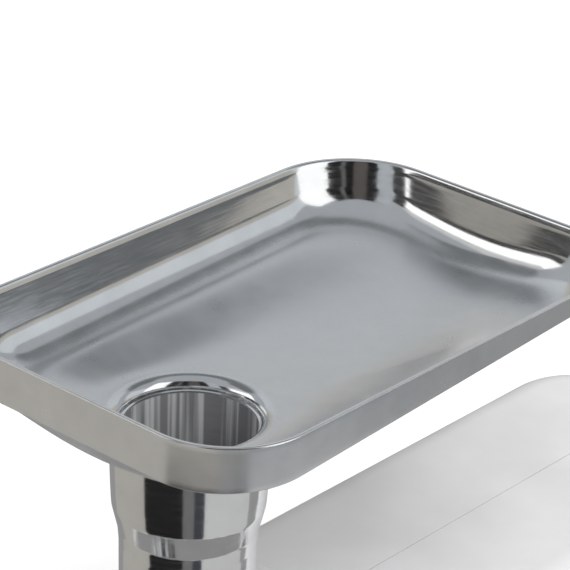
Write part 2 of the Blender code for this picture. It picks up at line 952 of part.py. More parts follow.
def make_switch():
    """A three-position rocker in a bezel on the right side, with the switch's body behind it."""
    side = HOUSING_WIDTH / 2
    # (how far out, half length, half height)
    sections = ((0.3, 18.5, 13.5), (1.8, 18.5, 13.5), (2.6, 17.4, 12.7), (2.6, 14, 9), (0.3, 14, 9))
    rings = []
    for out, half_length, half_height in sections:
        corners = ((-1, -1), (1, -1), (1, 1), (-1, 1))
        along, up = half_length * MM, half_height * MM
        rings.append([(side + out * MM, SWITCH_Y + y * along, SWITCH_Z + z * up) for y, z in corners])
    loft("switch_bezel", rings, "black plastic", ring_shaped=True)
    outline = []
    drum, facets = 13 * MM, 12
    for i in range(facets + 1):
        turn = math.radians(54 + (306 - 54) * i / facets)
        outline.append((drum * math.cos(turn), drum * math.sin(turn)))
    outline.append((6 * MM, 0))
    rocker = plate(
        "switch_rocker",
        [outline],
        SWITCH_Z - 8.4 * MM,
        SWITCH_Z + 8.4 * MM,
        "switch plastic",
        (side - ROCKER_DEPTH, SWITCH_Y),
        rotation=(0, 0, 0),
    )
    y, z = SWITCH_Y / MM, SWITCH_Z / MM
    box("switch_body", (36, y - 13.6, z - 9.6), (50, y + 13.6, z + 9.6), "black plastic")
    return rocker


# ---------------------------------------------------------------- gear train


def gear_outline(teeth, module, phase, slim=1.0):
    """Straight-flanked teeth. phase is the first tooth's angle, and slim narrows a tooth's tip."""
    pitch_radius = teeth * module / 2
    half = (math.pi / 2 - BACKLASH) * module / (2 * pitch_radius)
    tip_radius = pitch_radius + ADDENDUM * module
    root_radius = pitch_radius - DEDENDUM * module
    tip, root = 0.62 * slim * half, (1.05 + 0.45 * slim) * half
    outline = []
    for tooth in range(teeth):
        middle = phase + 2 * math.pi * tooth / teeth
        for offset, radius in (
            (-root, root_radius),
            (-tip, tip_radius),
            (tip, tip_radius),
            (root, root_radius),
        ):
            outline.append((radius * math.cos(middle + offset), radius * math.sin(middle + offset)))
    return outline


def mating_phase(phase, teeth, mate_teeth, direction):
    """The phase that puts a gap of the mate, which lies in this direction, on each of our teeth."""
    return direction + math.pi - (phase - direction) * teeth / mate_teeth + math.pi / mate_teeth


def gear_centre(start, direction, module, teeth, mate_teeth):
    reach = module * (teeth + mate_teeth) / 2
    return (start[0] + reach * math.cos(direction), start[1] + reach * math.sin(direction))


def meeting_point(first, first_reach, second, second_reach):
    """The lower right point at these distances from two points."""
    gap = (Vector(second) - Vector(first)).length
    along = (first_reach**2 - second_reach**2 + gap**2) / (2 * gap)
    across = math.sqrt(first_reach**2 - along**2)
    unit = (Vector(second) - Vector(first)) / gap
    return (
        first[0] + along * unit.x + across * unit.y,
        first[1] + along * unit.y - across * unit.x,
    )


OUTPUT_CENTRE = (0, BARREL_Z)
MOTOR_CENTRE = (0, MOTOR_Z)
GEAR_B_CENTRE = gear_centre(
    OUTPUT_CENTRE, GEAR_B_ANGLE, THIRD_MODULE, OUTPUT_TEETH, PINION_B_TEETH
)
GEAR_A_CENTRE = meeting_point(
    MOTOR_CENTRE,
    FIRST_MODULE * (MOTOR_TEETH + WHEEL_A_TEETH) / 2,
    GEAR_B_CENTRE,
    SECOND_MODULE * (PINION_A_TEETH + WHEEL_B_TEETH) / 2,
)

def direction_between(start, end):
    return math.atan2(end[1] - start[1], end[0] - start[0])


def gear(name, teeth, module, phase, slim, bore, low, high, centre, finish):
    return plate(
        name,
        [gear_outline(teeth, module, phase, slim), circle(bore * MM)],
        low * MM,
        high * MM,
        finish,
        centre,
    )


def make_gears():
    """Both wheels, their pinions and the output gear, in mesh at rest."""
    output = gear(
        "output_gear",
        OUTPUT_TEETH,
        THIRD_MODULE,
        GEAR_B_ANGLE,
        1,
        8.4,
        -27,
        -12,
        OUTPUT_CENTRE,
        "bright steel",
    )
    pinion_b_phase = mating_phase(GEAR_B_ANGLE, OUTPUT_TEETH, PINION_B_TEETH, GEAR_B_ANGLE)
    pinion_b = gear(
        "pinion_b",
        PINION_B_TEETH,
        THIRD_MODULE,
        pinion_b_phase,
        PINION_SLIM,
        4.3,
        -28,
        -9,
        GEAR_B_CENTRE,
        "bright steel",
    )
    b_to_a = direction_between(GEAR_B_CENTRE, GEAR_A_CENTRE)
    wheel_b = gear(
        "wheel_b",
        WHEEL_B_TEETH,
        SECOND_MODULE,
        b_to_a,
        1,
        4.3,
        -8.6,
        3,
        GEAR_B_CENTRE,
        "gear plastic",
    )
    pinion_a = gear(
        "pinion_a",
        PINION_A_TEETH,
        SECOND_MODULE,
        mating_phase(b_to_a, WHEEL_B_TEETH, PINION_A_TEETH, b_to_a),
        PINION_SLIM,
        3.3,
        -10,
        7,
        GEAR_A_CENTRE,
        "bright steel",
    )
    a_to_motor = direction_between(GEAR_A_CENTRE, MOTOR_CENTRE)
    wheel_a = gear(
        "wheel_a",
        WHEEL_A_TEETH,
        FIRST_MODULE,
        a_to_motor,
        1,
        3.3,
        7.4,
        17,
        GEAR_A_CENTRE,
        "gear plastic",
    )
    motor_pinion = gear(
        "motor_pinion",
        MOTOR_TEETH,
        FIRST_MODULE,
        mating_phase(a_to_motor, WHEEL_A_TEETH, MOTOR_TEETH, a_to_motor),
        PINION_SLIM,
        2.8,
        6,
        18,
        MOTOR_CENTRE,
        "bright steel",
    )
    return output, pinion_b, wheel_b, pinion_a, wheel_a, motor_pinion


def make_gear_pins():
    for name, centre, radius in (
        ("gear_pin_a", GEAR_A_CENTRE, 3.0),
        ("gear_pin_b", GEAR_B_CENTRE, 4.0),
    ):
        turned(
            name,
            [(0, 24), (radius, 24), (radius, -34), (0, -34)],
            "bright steel",
            "Y",
            (centre[0], 0, centre[1]),
            SCREW_SIDES,
        )


def make_output_shaft():
    z = BARREL_Z
    shaft = turned(
        "output_shaft",
        [(0, 24), (6, 24), (6, 16), (8, 16), (8, -30), (11, -30), (11, -46), (0, -46)],
        "bright steel",
        "Y",
        (0, 0, z),
    )
    drive = turned(
        "output_drive_cutter",
        [(0, -33), (6.15, -33), (6.15, -47), (0, -47)],
        None,
        "Y",
        (0, 0, z),
        6,
    )
    boolean(shaft, drive)
    return shaft


def make_output_bushes():
    turned(
        "output_bush_front",
        [(13.6, -31.2), (13.6, -44), (11.4, -44), (11.4, -31.2)],
        "bronze",
        "Y",
        (0, 0, BARREL_Z),
    )
    turned(
        "output_bush_rear",
        [(9.5, 25.5), (9.5, 17), (6.4, 17), (6.4, 25.5)],
        "bronze",
        "Y",
        (0, 0, BARREL_Z),
    )


def make_gearbox():
    """An open-fronted case and its cover, between the front cover and the motor."""
    steps = INNER_CORNER_STEPS
    outline = rounded_outline(-46 * MM, 61 * MM, 37 * MM, 184 * MM, 6 * MM, 6 * MM, steps)
    hollow = rounded_outline(-43 * MM, 58 * MM, 40 * MM, 181 * MM, 3 * MM, 3 * MM, steps)
    case = loft(
        "gearbox_case",
        [[(x, y * MM, z) for x, z in outline] for y in (-31.6, 26)],
        "cast aluminium",
    )
    boolean(
        case,
        loft(
            "gearbox_hollow_cutter",
            [[(x, y * MM, z) for x, z in hollow] for y in (-35, 22)],
            None,
        ),
    )
    holes = (
        ("motor_shaft", MOTOR_CENTRE, 6.5),
        ("rear_bush", OUTPUT_CENTRE, 9.9),
        ("pin_a", GEAR_A_CENTRE, 3.4),
        ("pin_b", GEAR_B_CENTRE, 4.4),
    )
    for name, centre, radius in holes:
        origin = (centre[0], 0, centre[1])
        boolean(case, round_cutter(name + "_case_hole", "Y", origin, radius, 20, 28))
    cover_holes = [
        circle(14 * MM, OUTPUT_CENTRE),
        circle(3.4 * MM, GEAR_A_CENTRE),
        circle(4.4 * MM, GEAR_B_CENTRE),
    ]
    cover_holes += [circle(1.8 * MM, centre, SCREW_SIDES) for centre in COVER_SCREW_PLACES]
    plate("gearbox_cover", [outline] + cover_holes, -35 * MM, -32 * MM, "cast aluminium")


# ---------------------------------------------------------------- motor


def make_rotor():
    axis = (0, 0, MOTOR_Z)
    shaft = turned(
        "motor_shaft",
        [(0, 168), (4, 168), (4, 22), (2.5, 21), (2.5, 5), (0, 5)],
        "bright steel",
        "Y",
        axis,
        SCREW_SIDES,
    )
    slots = 12
    outline = []
    for slot in range(slots):
        middle = 2 * math.pi * slot / slots
        root = ARMATURE_RADIUS - 8.5 * MM
        tooth = ((-0.19, ARMATURE_RADIUS), (0.19, ARMATURE_RADIUS), (0.19, root), (0.33, root))
        for offset, radius in tooth:
            angle = middle + offset
            outline.append((radius * math.cos(angle), radius * math.sin(angle)))
    core = plate(
        "armature_core",
        [outline, circle(4.3 * MM, count=SCREW_SIDES)],
        STATOR_FRONT,
        STATOR_REAR,
        "lamination steel",
        MOTOR_CENTRE,
    )
    commutator = turned(
        "commutator",
        [(9, 151), (11, 150), (11, 134), (9, 132), (4.3, 132), (4.3, 151)],
        "copper",
        "Y",
        axis,
        24,
    )
    blades = 9
    fan_outline = []
    for blade in range(blades):
        middle = 2 * math.pi * blade / blades
        for offset, radius in ((-0.16, 9), (-0.03, 32), (0.03, 32), (0.16, 9)):
            angle = middle + offset
            fan_outline.append((radius * MM * math.cos(angle), radius * MM * math.sin(angle)))
    fan = plate(
        "cooling_fan",
        [fan_outline, circle(4.3 * MM, count=SCREW_SIDES)],
        41 * MM,
        53 * MM,
        "black plastic",
        MOTOR_CENTRE,
    )
    return shaft, core, commutator, fan


def motor_bolt_holes():
    places = [(side * MOTOR_BOLT_ACROSS, side * MOTOR_BOLT_UP) for side in (-1, 1)]
    return [circle(2.6 * MM, place_xz, SCREW_SIDES) for place_xz in places]


def make_stator():
    outline = rounded_outline(
        -34 * MM, 34 * MM, -40 * MM, 40 * MM, 8 * MM, 8 * MM, INNER_CORNER_STEPS
    )
    window = []
    bore, half_window, reach = 23 * MM, 16 * MM, 31.5 * MM
    edge = math.asin(half_window / bore)
    for side in (1, -1):
        middle = 0 if side > 0 else math.pi
        window.append((side * reach, -side * half_window))
        window.append((side * reach, side * half_window))
        for step in range(7):
            angle = middle + edge + (math.pi - 2 * edge) * step / 6
            window.append((bore * math.cos(angle), bore * math.sin(angle)))
    bolt_holes = motor_bolt_holes()
    plate(
        "stator_core",
        [outline, window] + bolt_holes,
        STATOR_FRONT,
        STATOR_REAR,
        "lamination steel",
        MOTOR_CENTRE,
    )


def make_field_coils():
    """Two racetrack windings that pass through the stator's windows."""
    for name, side in (("field_coil_upper", 1), ("field_coil_lower", -1)):
        curve = bpy.data.curves.new(name, "CURVE")
        curve.dimensions = "3D"
        curve.bevel_depth = 4.4 * MM
        curve.bevel_resolution = 2
        line = curve.splines.new("POLY")
        route = rounded_outline(
            -26 * MM, 26 * MM, 62 * MM, 124 * MM, 9 * MM, 9 * MM, INNER_CORNER_STEPS
        )
        line.points.add(len(route) - 1)
        for point, (x, y) in zip(line.points, route):
            point.co = (x, y, side * 9.5 * MM, 1)
        line.use_cyclic_u = True
        place(name, curve, "copper", (0, 0, MOTOR_Z))


def make_motor_brackets():
    for name, low, high, bore in (
        ("motor_bracket_front", 27, 31, 11.3),
        ("motor_bracket_rear", 156, 160, 9.3),
    ):
        outline = rounded_outline(
            -33 * MM, 33 * MM, -39 * MM, 39 * MM, 8 * MM, 8 * MM, INNER_CORNER_STEPS
        )
        bolt_holes = motor_bolt_holes()
        plate(
            name,
            [outline, circle(bore * MM)] + bolt_holes,
            low * MM,
            high * MM,
            "zinc steel",
            MOTOR_CENTRE,
        )
    for name, low, high, outer in (
        ("motor_bearing_front", 27.5, 34.5, 11),
        ("motor_bearing_rear", 154.5, 161.5, 9),
    ):
        turned(
            name,
            [(outer, high), (outer, low), (4.3, low), (4.3, high)],
            "bright steel",
            "Y",
            (0, 0, MOTOR_Z),
        )
    for name, side in (("motor_bolt_left", -1), ("motor_bolt_right", 1)):
        turned(
            name,
            [(0, 163), (4, 163), (4, 160.3), (2.2, 160.3), (2.2, 26.7), (0, 26.7)],
            "zinc steel",
            "Y",
            (side * MOTOR_BOLT_ACROSS, 0, MOTOR_Z + side * MOTOR_BOLT_UP),
            SCREW_SIDES,
        )


def make_brushes():
    box("carbon_brush_left", (-30, 137, 80.5), (-11.6, 147, 87.5), "carbon")
    box("carbon_brush_right", (11.6, 137, 80.5), (30, 147, 87.5), "carbon")


# ---------------------------------------------------------------- assembly


def build():
    tray = make_tray()
    head = make_head_casting()
    grinding_plate = make_grinding_plate()
    knife, auger, washer = make_knife(), make_auger(), make_thrust_washer()
    nut = make_ring_nut()
    make_shell("left_shell", -1)
    make_shell("right_shell", 1)
    make_front_cover()
    make_base_plate()
    make_feet()
    make_cover_screws()
    make_shell_screws()
    make_head_socket()
    knob = make_lock_knob()
    make_cord_gland()
    rocker = make_switch()
    output_gear, pinion_b, wheel_b, pinion_a, wheel_a, motor_pinion = make_gears()
    make_gear_pins()
    output_shaft = make_output_shaft()
    make_output_bushes()
    make_gearbox()
    shaft, core, commutator, fan = make_rotor()
    make_stator()
    make_field_coils()
    make_motor_brackets()
    make_brushes()

    output_axis = (0, -100 * MM, BARREL_Z)
    hang(pivot("head_slide_axis", output_axis), head, grinding_plate)
    hang(pivot("auger_axis", output_axis), auger, knife, washer)
    hang(pivot("ring_nut_axis", (0, MOUTH_Y, BARREL_Z)), nut)
    hang(pivot("tray_lift_axis", (0, TUBE_Y, CUP_Z)), tray)
    hang(pivot("output_axis", (0, 0, BARREL_Z)), output_gear, output_shaft)
    hang(pivot("gear_b_axis", (GEAR_B_CENTRE[0], 0, GEAR_B_CENTRE[1])), wheel_b, pinion_b)
    hang(pivot("gear_a_axis", (GEAR_A_CENTRE[0], 0, GEAR_A_CENTRE[1])), wheel_a, pinion_a)
    hang(pivot("motor_axis", (0, 0, MOTOR_Z)), shaft, core, commutator, fan, motor_pinion)
    hang(pivot("lock_knob_axis", (0, -58 * MM, BARREL_Z)), knob)
    hang(pivot("rocker_axis", (HOUSING_WIDTH / 2 - ROCKER_DEPTH, SWITCH_Y, SWITCH_Z)), rocker)


clear_scene()
parts = new_collection("electric_meat_grinder")
cutters = new_collection("cutters")
build()
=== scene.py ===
"""The looks of an electric meat grinder: a polished cast-aluminium tray and head on a geared motor.

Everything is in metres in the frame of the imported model: the feet stand on Z = 0, the meat comes out
towards -Y, and X = 0 is the plane on which the housing parts. Turned profiles list (radius, place
along the axis, rounding) in millimetres.
"""

import json
import math

import bmesh
import bpy
from mathutils import Matrix, Vector

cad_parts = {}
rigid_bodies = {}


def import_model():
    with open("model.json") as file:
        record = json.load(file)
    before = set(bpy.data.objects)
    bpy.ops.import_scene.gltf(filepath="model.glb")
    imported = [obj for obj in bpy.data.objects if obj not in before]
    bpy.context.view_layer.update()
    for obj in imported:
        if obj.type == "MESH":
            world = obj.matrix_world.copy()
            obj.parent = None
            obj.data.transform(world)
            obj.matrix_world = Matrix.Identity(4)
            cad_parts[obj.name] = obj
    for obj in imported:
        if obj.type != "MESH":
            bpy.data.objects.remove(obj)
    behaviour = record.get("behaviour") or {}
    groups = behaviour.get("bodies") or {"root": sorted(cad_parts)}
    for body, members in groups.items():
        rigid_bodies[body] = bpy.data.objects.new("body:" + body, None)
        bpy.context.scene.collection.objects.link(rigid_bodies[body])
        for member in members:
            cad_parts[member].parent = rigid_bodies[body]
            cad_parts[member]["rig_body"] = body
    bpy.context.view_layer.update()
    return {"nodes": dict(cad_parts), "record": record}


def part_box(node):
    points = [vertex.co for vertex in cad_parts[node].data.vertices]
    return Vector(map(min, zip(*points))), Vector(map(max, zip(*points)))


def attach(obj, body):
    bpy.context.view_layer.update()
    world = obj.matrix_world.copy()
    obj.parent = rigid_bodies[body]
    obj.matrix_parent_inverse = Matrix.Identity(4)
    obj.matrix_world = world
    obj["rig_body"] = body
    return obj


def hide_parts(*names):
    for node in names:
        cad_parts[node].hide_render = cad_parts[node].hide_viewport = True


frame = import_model()

MM = 0.001
NODES = frame["nodes"]
SLOT_OF = {part["node"]: part["material_slot"] for part in frame["record"]["subparts"]}


def middle(node):
    low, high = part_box(node)
    return (low + high) / 2


# ---------------------------------------------------------------- driving dimensions

tray_low, tray_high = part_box("tray")
RIM_Z = tray_high.z
CUP_Z = RIM_Z - 38.6 * MM  # narrowest ring of the tray's hole, where the feed cup begins
TUBE_Y = tray_low.y + 65 * MM
TRAY_WALL = 1.8 * MM
RIM_FRONT_RADIUS = 36 * MM
RIM_REAR_RADIUS = 41 * MM
CORNER_TIGHTENING = 0.45  # how much a corner's radius drops for each unit in from the outline
COVE_RADIUS = 17 * MM
COVE_CENTRE = 23.5 * MM  # in from the outline
WALL_LEAN = math.radians(19.5)
DISH_DEPTH = 26.5 * MM  # at the floor's sides, level with the hole
DISH_RISE = 0.035  # the floor's slope up towards the rear
DISH_SAG = 5 * MM  # how much deeper the floor is along its middle
LAND_DEPTH = 33.2 * MM  # of the flat land round the hole
LAND_RADIUS = 34 * MM
BAND_DEPTH = 19 * MM  # of the rim band at the front
BAND_RISE = 0.049  # slope of the band's lower edge
SPIGOT_LENGTH = 29 * MM

nut_low, nut_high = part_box("ring_nut")
MOUTH_Y = nut_low.y
BARREL_Z = (nut_low.z + nut_high.z) / 2
LOCK_Y = -58 * MM  # axis of the screw that clamps the head's neck
plate_low, plate_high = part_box("grinding_plate")
PLATE_FRONT, PLATE_BACK = plate_low.y, plate_high.y

shell_low, shell_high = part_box("right_shell")
HALF_WIDTH = shell_high.x
HOUSING_FRONT, HOUSING_REAR = shell_low.y, shell_high.y
HOUSING_BOTTOM, HOUSING_TOP = shell_low.z, shell_high.z
HOUSING_WALL = 3 * MM
TOP_FILLET = 20 * MM
REAR_CORNER = 45 * MM
FRONT_CORNER = 6 * MM
SEAM = 0.4 * MM
COVER_INSET = 7 * MM

SMOOTH_BELOW = math.radians(32)  # the angle between two facets that still shade as one
WELD = 0.002 * MM  # corners nearer than this are one
ROUND = 96  # sides of a large turned piece
SMALL_ROUND = 40


# ---------------------------------------------------------------- mesh helpers


def rounded(profile, closed, steps=4):
    """The profile's points with each corner replaced by an arc of its own rounding."""
    count = len(profile)
    points = []
    for i, entry in enumerate(profile):
        here = Vector(entry[:2])
        radius = entry[2] if len(entry) > 2 else 0
        if radius == 0 or (not closed and i in (0, count - 1)):
            points.append(tuple(here))
            continue
        before = Vector(profile[i - 1][:2]) - here
        after = Vector(profile[(i + 1) % count][:2]) - here
        bend = math.pi - before.angle(after)
        cut = min(radius * math.tan(bend / 2), before.length * 0.48, after.length * 0.48)
        start, end = here + before.normalized() * cut, here + after.normalized() * cut
        for step in range(steps + 1):
            t = step / steps
            points.append(tuple(start * (1 - t) ** 2 + here * 2 * t * (1 - t) + end * t * t))
    return points


def to_object(name, bm, sharp=SMOOTH_BELOW):
    bmesh.ops.recalc_face_normals(bm, faces=bm.faces)
    mesh = bpy.data.meshes.new(name)
    bm.to_mesh(mesh)
    bm.free()
    mesh.shade_smooth()
    mesh.set_sharp_from_angle(angle=sharp)
    obj = bpy.data.objects.new(name, mesh)
    bpy.context.scene.collection.objects.link(obj)
    return obj


def skin(name, rings, ring_shaped=False, sharp=SMOOTH_BELOW):
    """A closed skin over rings of equal count. The ends are capped, or joined when ring_shaped."""
    bm = bmesh.new()
    rows = [[bm.verts.new(point) for point in ring] for ring in rings]
    count = len(rows[0])
    pairs = list(zip(rows, rows[1:]))
    if ring_shaped:
        pairs.append((rows[-1], rows[0]))
    for lower, upper in pairs:
        for i in range(count):
            j = (i + 1) % count
            bm.faces.new((lower[i], lower[j], upper[j], upper[i]))
    if not ring_shaped:
        bm.faces.new(rows[0])
        bm.faces.new(rows[-1])
    return to_object(name, bm, sharp)


def on_axis(axis, radius, turn, along):
    across, up = polar(radius, turn)
    return {"X": (along, across, up), "Y": (across, along, up), "Z": (across, up, along)}[axis]


def turned(name, profile, axis, origin, sides=ROUND):
    """A profile turned about an axis. One that starts and ends on the axis makes a solid, and any
    other is closed into a ring."""
    solid = profile[0][0] == 0
    outline = rounded(profile, not solid)
    if solid:
        outline = outline[1:-1]
    rings = []
    for radius, along in outline:
        ring = []
        for i in range(sides):
            point = on_axis(axis, radius * MM, 2 * math.pi * i / sides, along * MM)
            ring.append(tuple(a + b for a, b in zip(point, origin)))
        rings.append(ring)
    return skin(name, rings, not solid)


def add_box(bm, low, high):
    made = bmesh.ops.create_cube(bm, size=1)["verts"]
    low, high = Vector(low), Vector(high)
    bmesh.ops.scale(bm, vec=high - low, verts=made)
    bmesh.ops.translate(bm, vec=(low + high) / 2, verts=made)


def boolean(obj, *cutters, operation="DIFFERENCE"):
    """Cuts the cutters from obj, or joins them to it, and removes them."""
    for cutter in cutters:
        modifier = obj.modifiers.new("cut", "BOOLEAN")
        modifier.operation = operation
        modifier.solver = "EXACT"
        modifier.object = cutter
    apply_modifiers(obj)
    for cutter in cutters:
        bpy.data.objects.remove(cutter)
    return obj


def apply_modifiers(obj):
    graph = bpy.context.evaluated_depsgraph_get()
    mesh = bpy.data.meshes.new_from_object(obj.evaluated_get(graph))
    obj.modifiers.clear()
    obj.data = mesh
    mesh.shade_smooth()
    mesh.set_sharp_from_angle(angle=SMOOTH_BELOW)
    return obj


def welded(obj):
    """Closes the hairline gaps that a Boolean leaves."""
    bm = bmesh.new()
    bm.from_mesh(obj.data)
    reach = 1.5 * WELD
    bmesh.ops.remove_doubles(bm, verts=bm.verts, dist=reach)
    bmesh.ops.dissolve_degenerate(bm, edges=bm.edges, dist=reach)
    bm.to_mesh(obj.data)
    bm.free()
    return obj


def bevelled(obj, width):
    """Rounds every sharp edge."""
    modifier = obj.modifiers.new("rounded edges", "BEVEL")
    modifier.width = width
    modifier.segments = 3
    modifier.limit_method = "ANGLE"
    modifier.angle_limit = math.radians(35)
    modifier.harden_normals = True
    modifier.miter_outer = "MITER_ARC"
    return obj


def flat_plate(name, outlines, low, high, edge, upright=True, centre=(0, 0)):
    """Flat outlines, the first with the others as holes, between two planes, with rounded edges.
    Upright outlines lie in (X, Z), and others in (X, Y)."""
    curve = bpy.data.curves.new(name, "CURVE")
    curve.dimensions = "2D"
    curve.fill_mode = "BOTH"
    curve.extrude = (high - low) / 2 - edge
    curve.bevel_depth = edge
    curve.bevel_resolution = 2
    curve.offset = -edge
    for outline in outlines:
        line = curve.splines.new("POLY")
        line.points.add(len(outline) - 1)
        for point, (x, y) in zip(line.points, outline):
            point.co = (x, y, 0, 1)
        line.use_cyclic_u = True
    half_way = (low + high) / 2
    maker = bpy.data.objects.new(name + "_outline", curve)
    bpy.context.scene.collection.objects.link(maker)
    if upright:
        maker.rotation_euler.x = math.radians(90)
        maker.location = (centre[0], half_way, centre[1])
    else:
        maker.location = (centre[0], centre[1], half_way)
    bpy.context.view_layer.update()
    graph = bpy.context.evaluated_depsgraph_get()
    mesh = bpy.data.meshes.new_from_object(maker.evaluated_get(graph))
    mesh.transform(maker.matrix_world)
    bpy.data.objects.remove(maker)
    bm = bmesh.new()
    bm.from_mesh(mesh)
    bmesh.ops.remove_doubles(bm, verts=bm.verts, dist=WELD)
    return to_object(name, bm)


def polar(radius, turn):
    return radius * math.cos(turn), radius * math.sin(turn)


def circle(radius, centre=(0, 0), count=SMALL_ROUND):
    points = [polar(radius, 2 * math.pi * i / count) for i in range(count)]
    return [(centre[0] + x, centre[1] + y) for x, y in points]


def rounded_outline(x0, x1, y0, y1, low_radius, high_radius, steps=14, between=1):
    """A rectangle's outline, counter-clockwise, whose corners at y0 and at y1 have their own radii.
    Each straight side is divided into as many stretches as between says."""
    corners = (
        (x1 - low_radius, y0 + low_radius, low_radius, -90),
        (x1 - high_radius, y1 - high_radius, high_radius, 0),
        (x0 + high_radius, y1 - high_radius, high_radius, 90),
        (x0 + low_radius, y0 + low_radius, low_radius, 180),
    )
    arcs = []
    for x, y, radius, start in corners:
        turns = (math.radians(start + 90 * step / steps) for step in range(steps + 1))
        arcs.append([(x + radius * math.cos(t), y + radius * math.sin(t)) for t in turns])
    outline = []
    for i, arc in enumerate(arcs):
        outline += arc
        end, start = Vector(arc[-1]), Vector(arcs[(i + 1) % 4][0])
        outline += [tuple(end.lerp(start, k / between)) for k in range(1, between)]
    return outline


def show(obj, node):
    """obj is the piece that stands for a node: it rides on its body and takes its finish."""
    slot = SLOT_OF[node]
    obj.data.materials.clear()
    obj.data.materials.append(FINISH.get(node) or FINISH[slot])
    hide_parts(node)
    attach(obj, NODES[node]["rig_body"])


# ---------------------------------------------------------------- materials


class Finish:
    """A Principled material and the few node chains that the finishes share. Patterns run on
    object coordinates in millimetres, so that they move with their piece."""

    def __init__(self, name, metallic=0.0, **settings):
        self.material = bpy.data.materials.new(name)
        self.material.use_nodes = True
        self.tree = self.material.node_tree
        self.shader = self.tree.nodes["Principled BSDF"]
        self.set(**{"Metallic": metallic, **settings})
        coordinates = self.tree.nodes.new("ShaderNodeTexCoord")
        scale = self.tree.nodes.new("ShaderNodeVectorMath")
        scale.operation = "SCALE"
        scale.inputs["Scale"].default_value = 1 / MM
        self.link(coordinates.outputs["Object"], scale.inputs[0])
        self.place = scale.outputs[0]
        self.normal = None

    def set(self, **settings):
        for name, value in settings.items():
            self.shader.inputs[name.replace("_", " ")].default_value = value

    def link(self, source, target):
        self.tree.links.new(source, target)

    def moved(self, stretch=(1, 1, 1), offset=(0, 0, 0)):
        """The place, scaled along each axis and then shifted."""
        mapping = self.tree.nodes.new("ShaderNodeMapping")
        mapping.inputs["Scale"].default_value = stretch
        mapping.inputs["Location"].default_value = offset
        self.link(self.place, mapping.inputs["Vector"])
        return mapping.outputs[0]

    def noise(self, size, detail=2, stretch=(1, 1, 1), roughness=0.5):
        """Noise whose lumps are about size millimetres across."""
        node = self.tree.nodes.new("ShaderNodeTexNoise")
        node.inputs["Scale"].default_value = 1 / size
        node.inputs["Detail"].default_value = detail
        node.inputs["Roughness"].default_value = roughness
        self.link(self.moved(stretch), node.inputs["Vector"])
        return node.outputs["Fac"]

    def spread(self, value, low, high, start=0.3, end=0.7):
        """value from start to end becomes low to high."""
        node = self.tree.nodes.new("ShaderNodeMapRange")
        node.inputs["From Min"].default_value = start
        node.inputs["From Max"].default_value = end
        node.inputs["To Min"].default_value = low
        node.inputs["To Max"].default_value = high
        self.link(value, node.inputs["Value"])
        return node.outputs["Result"]

    def maths(self, operation, first, second=None, third=None):
        node = self.tree.nodes.new("ShaderNodeMath")
        node.operation = operation
        for socket, value in zip(node.inputs, (first, second, third)):
            if value is None:
                continue
            if isinstance(value, (int, float)):
                socket.default_value = value
            else:
                self.link(value, socket)
        return node.outputs[0]

    def attribute(self, name):
        node = self.tree.nodes.new("ShaderNodeAttribute")
        node.attribute_name = name
        return node.outputs["Fac"]

    def mixed(self, amount, first, second):
        """The colour between first and second."""
        node = self.tree.nodes.new("ShaderNodeMix")
        node.data_type = "RGBA"
        self.link(amount, node.inputs["Factor"])
        for name, value in (("A", first), ("B", second)):
            socket = [s for s in node.inputs if s.name == name and s.type == "RGBA"][0]
            if isinstance(value, tuple):
                socket.default_value = (*value, 1)
            else:
                self.link(value, socket)
        return [s for s in node.outputs if s.type == "RGBA"][0]

    def colour(self, socket):
        self.link(socket, self.shader.inputs["Base Color"])

    def roughness(self, socket):
        self.link(socket, self.shader.inputs["Roughness"])

    def bump(self, height, strength, distance=0.1):
        """Adds relief, distance being in millimetres."""
        node = self.tree.nodes.new("ShaderNodeBump")
        node.inputs["Strength"].default_value = strength
        node.inputs["Distance"].default_value = distance * MM
        self.link(height, node.inputs["Height"])
        if self.normal is not None:
            self.link(self.normal, node.inputs["Normal"])
        self.normal = node.outputs["Normal"]
        self.link(self.normal, self.shader.inputs["Normal"])

    def radius_about(self, axis, centre):
        """Distance in millimetres from a line along the axis, and the turn about it."""
        split = self.tree.nodes.new("ShaderNodeSeparateXYZ")
        shifted = self.moved(offset=tuple(-c / MM for c in centre))
        self.link(shifted, split.inputs[0])
        first, second = {"X": (1, 2), "Y": (0, 2), "Z": (0, 1)}[axis]
        a, b = split.outputs[first], split.outputs[second]
        square = self.maths("ADD", self.maths("MULTIPLY", a, a), self.maths("MULTIPLY", b, b))
        return self.maths("SQRT", square), self.maths("ARCTAN2", b, a)


def metal(name, tint, rough, scratch=0.04):
    """A bare metal: uneven gloss, fine directional scratches and slight stains."""
    finish = Finish(name, metallic=1.0)
    stain = finish.noise(14, 4)
    dark = tuple(c * 0.86 for c in tint)
    finish.colour(finish.mixed(finish.spread(stain, 0, 1), dark, tint))
    fine = finish.noise(0.5, 3, roughness=0.6)
    patches = finish.noise(9, 3)
    level = finish.spread(patches, rough * 0.8, rough * 1.25)
    finish.roughness(finish.maths("ADD", level, finish.spread(fine, -0.05, 0.05)))
    finish.bump(fine, scratch, 0.05)
    return finish


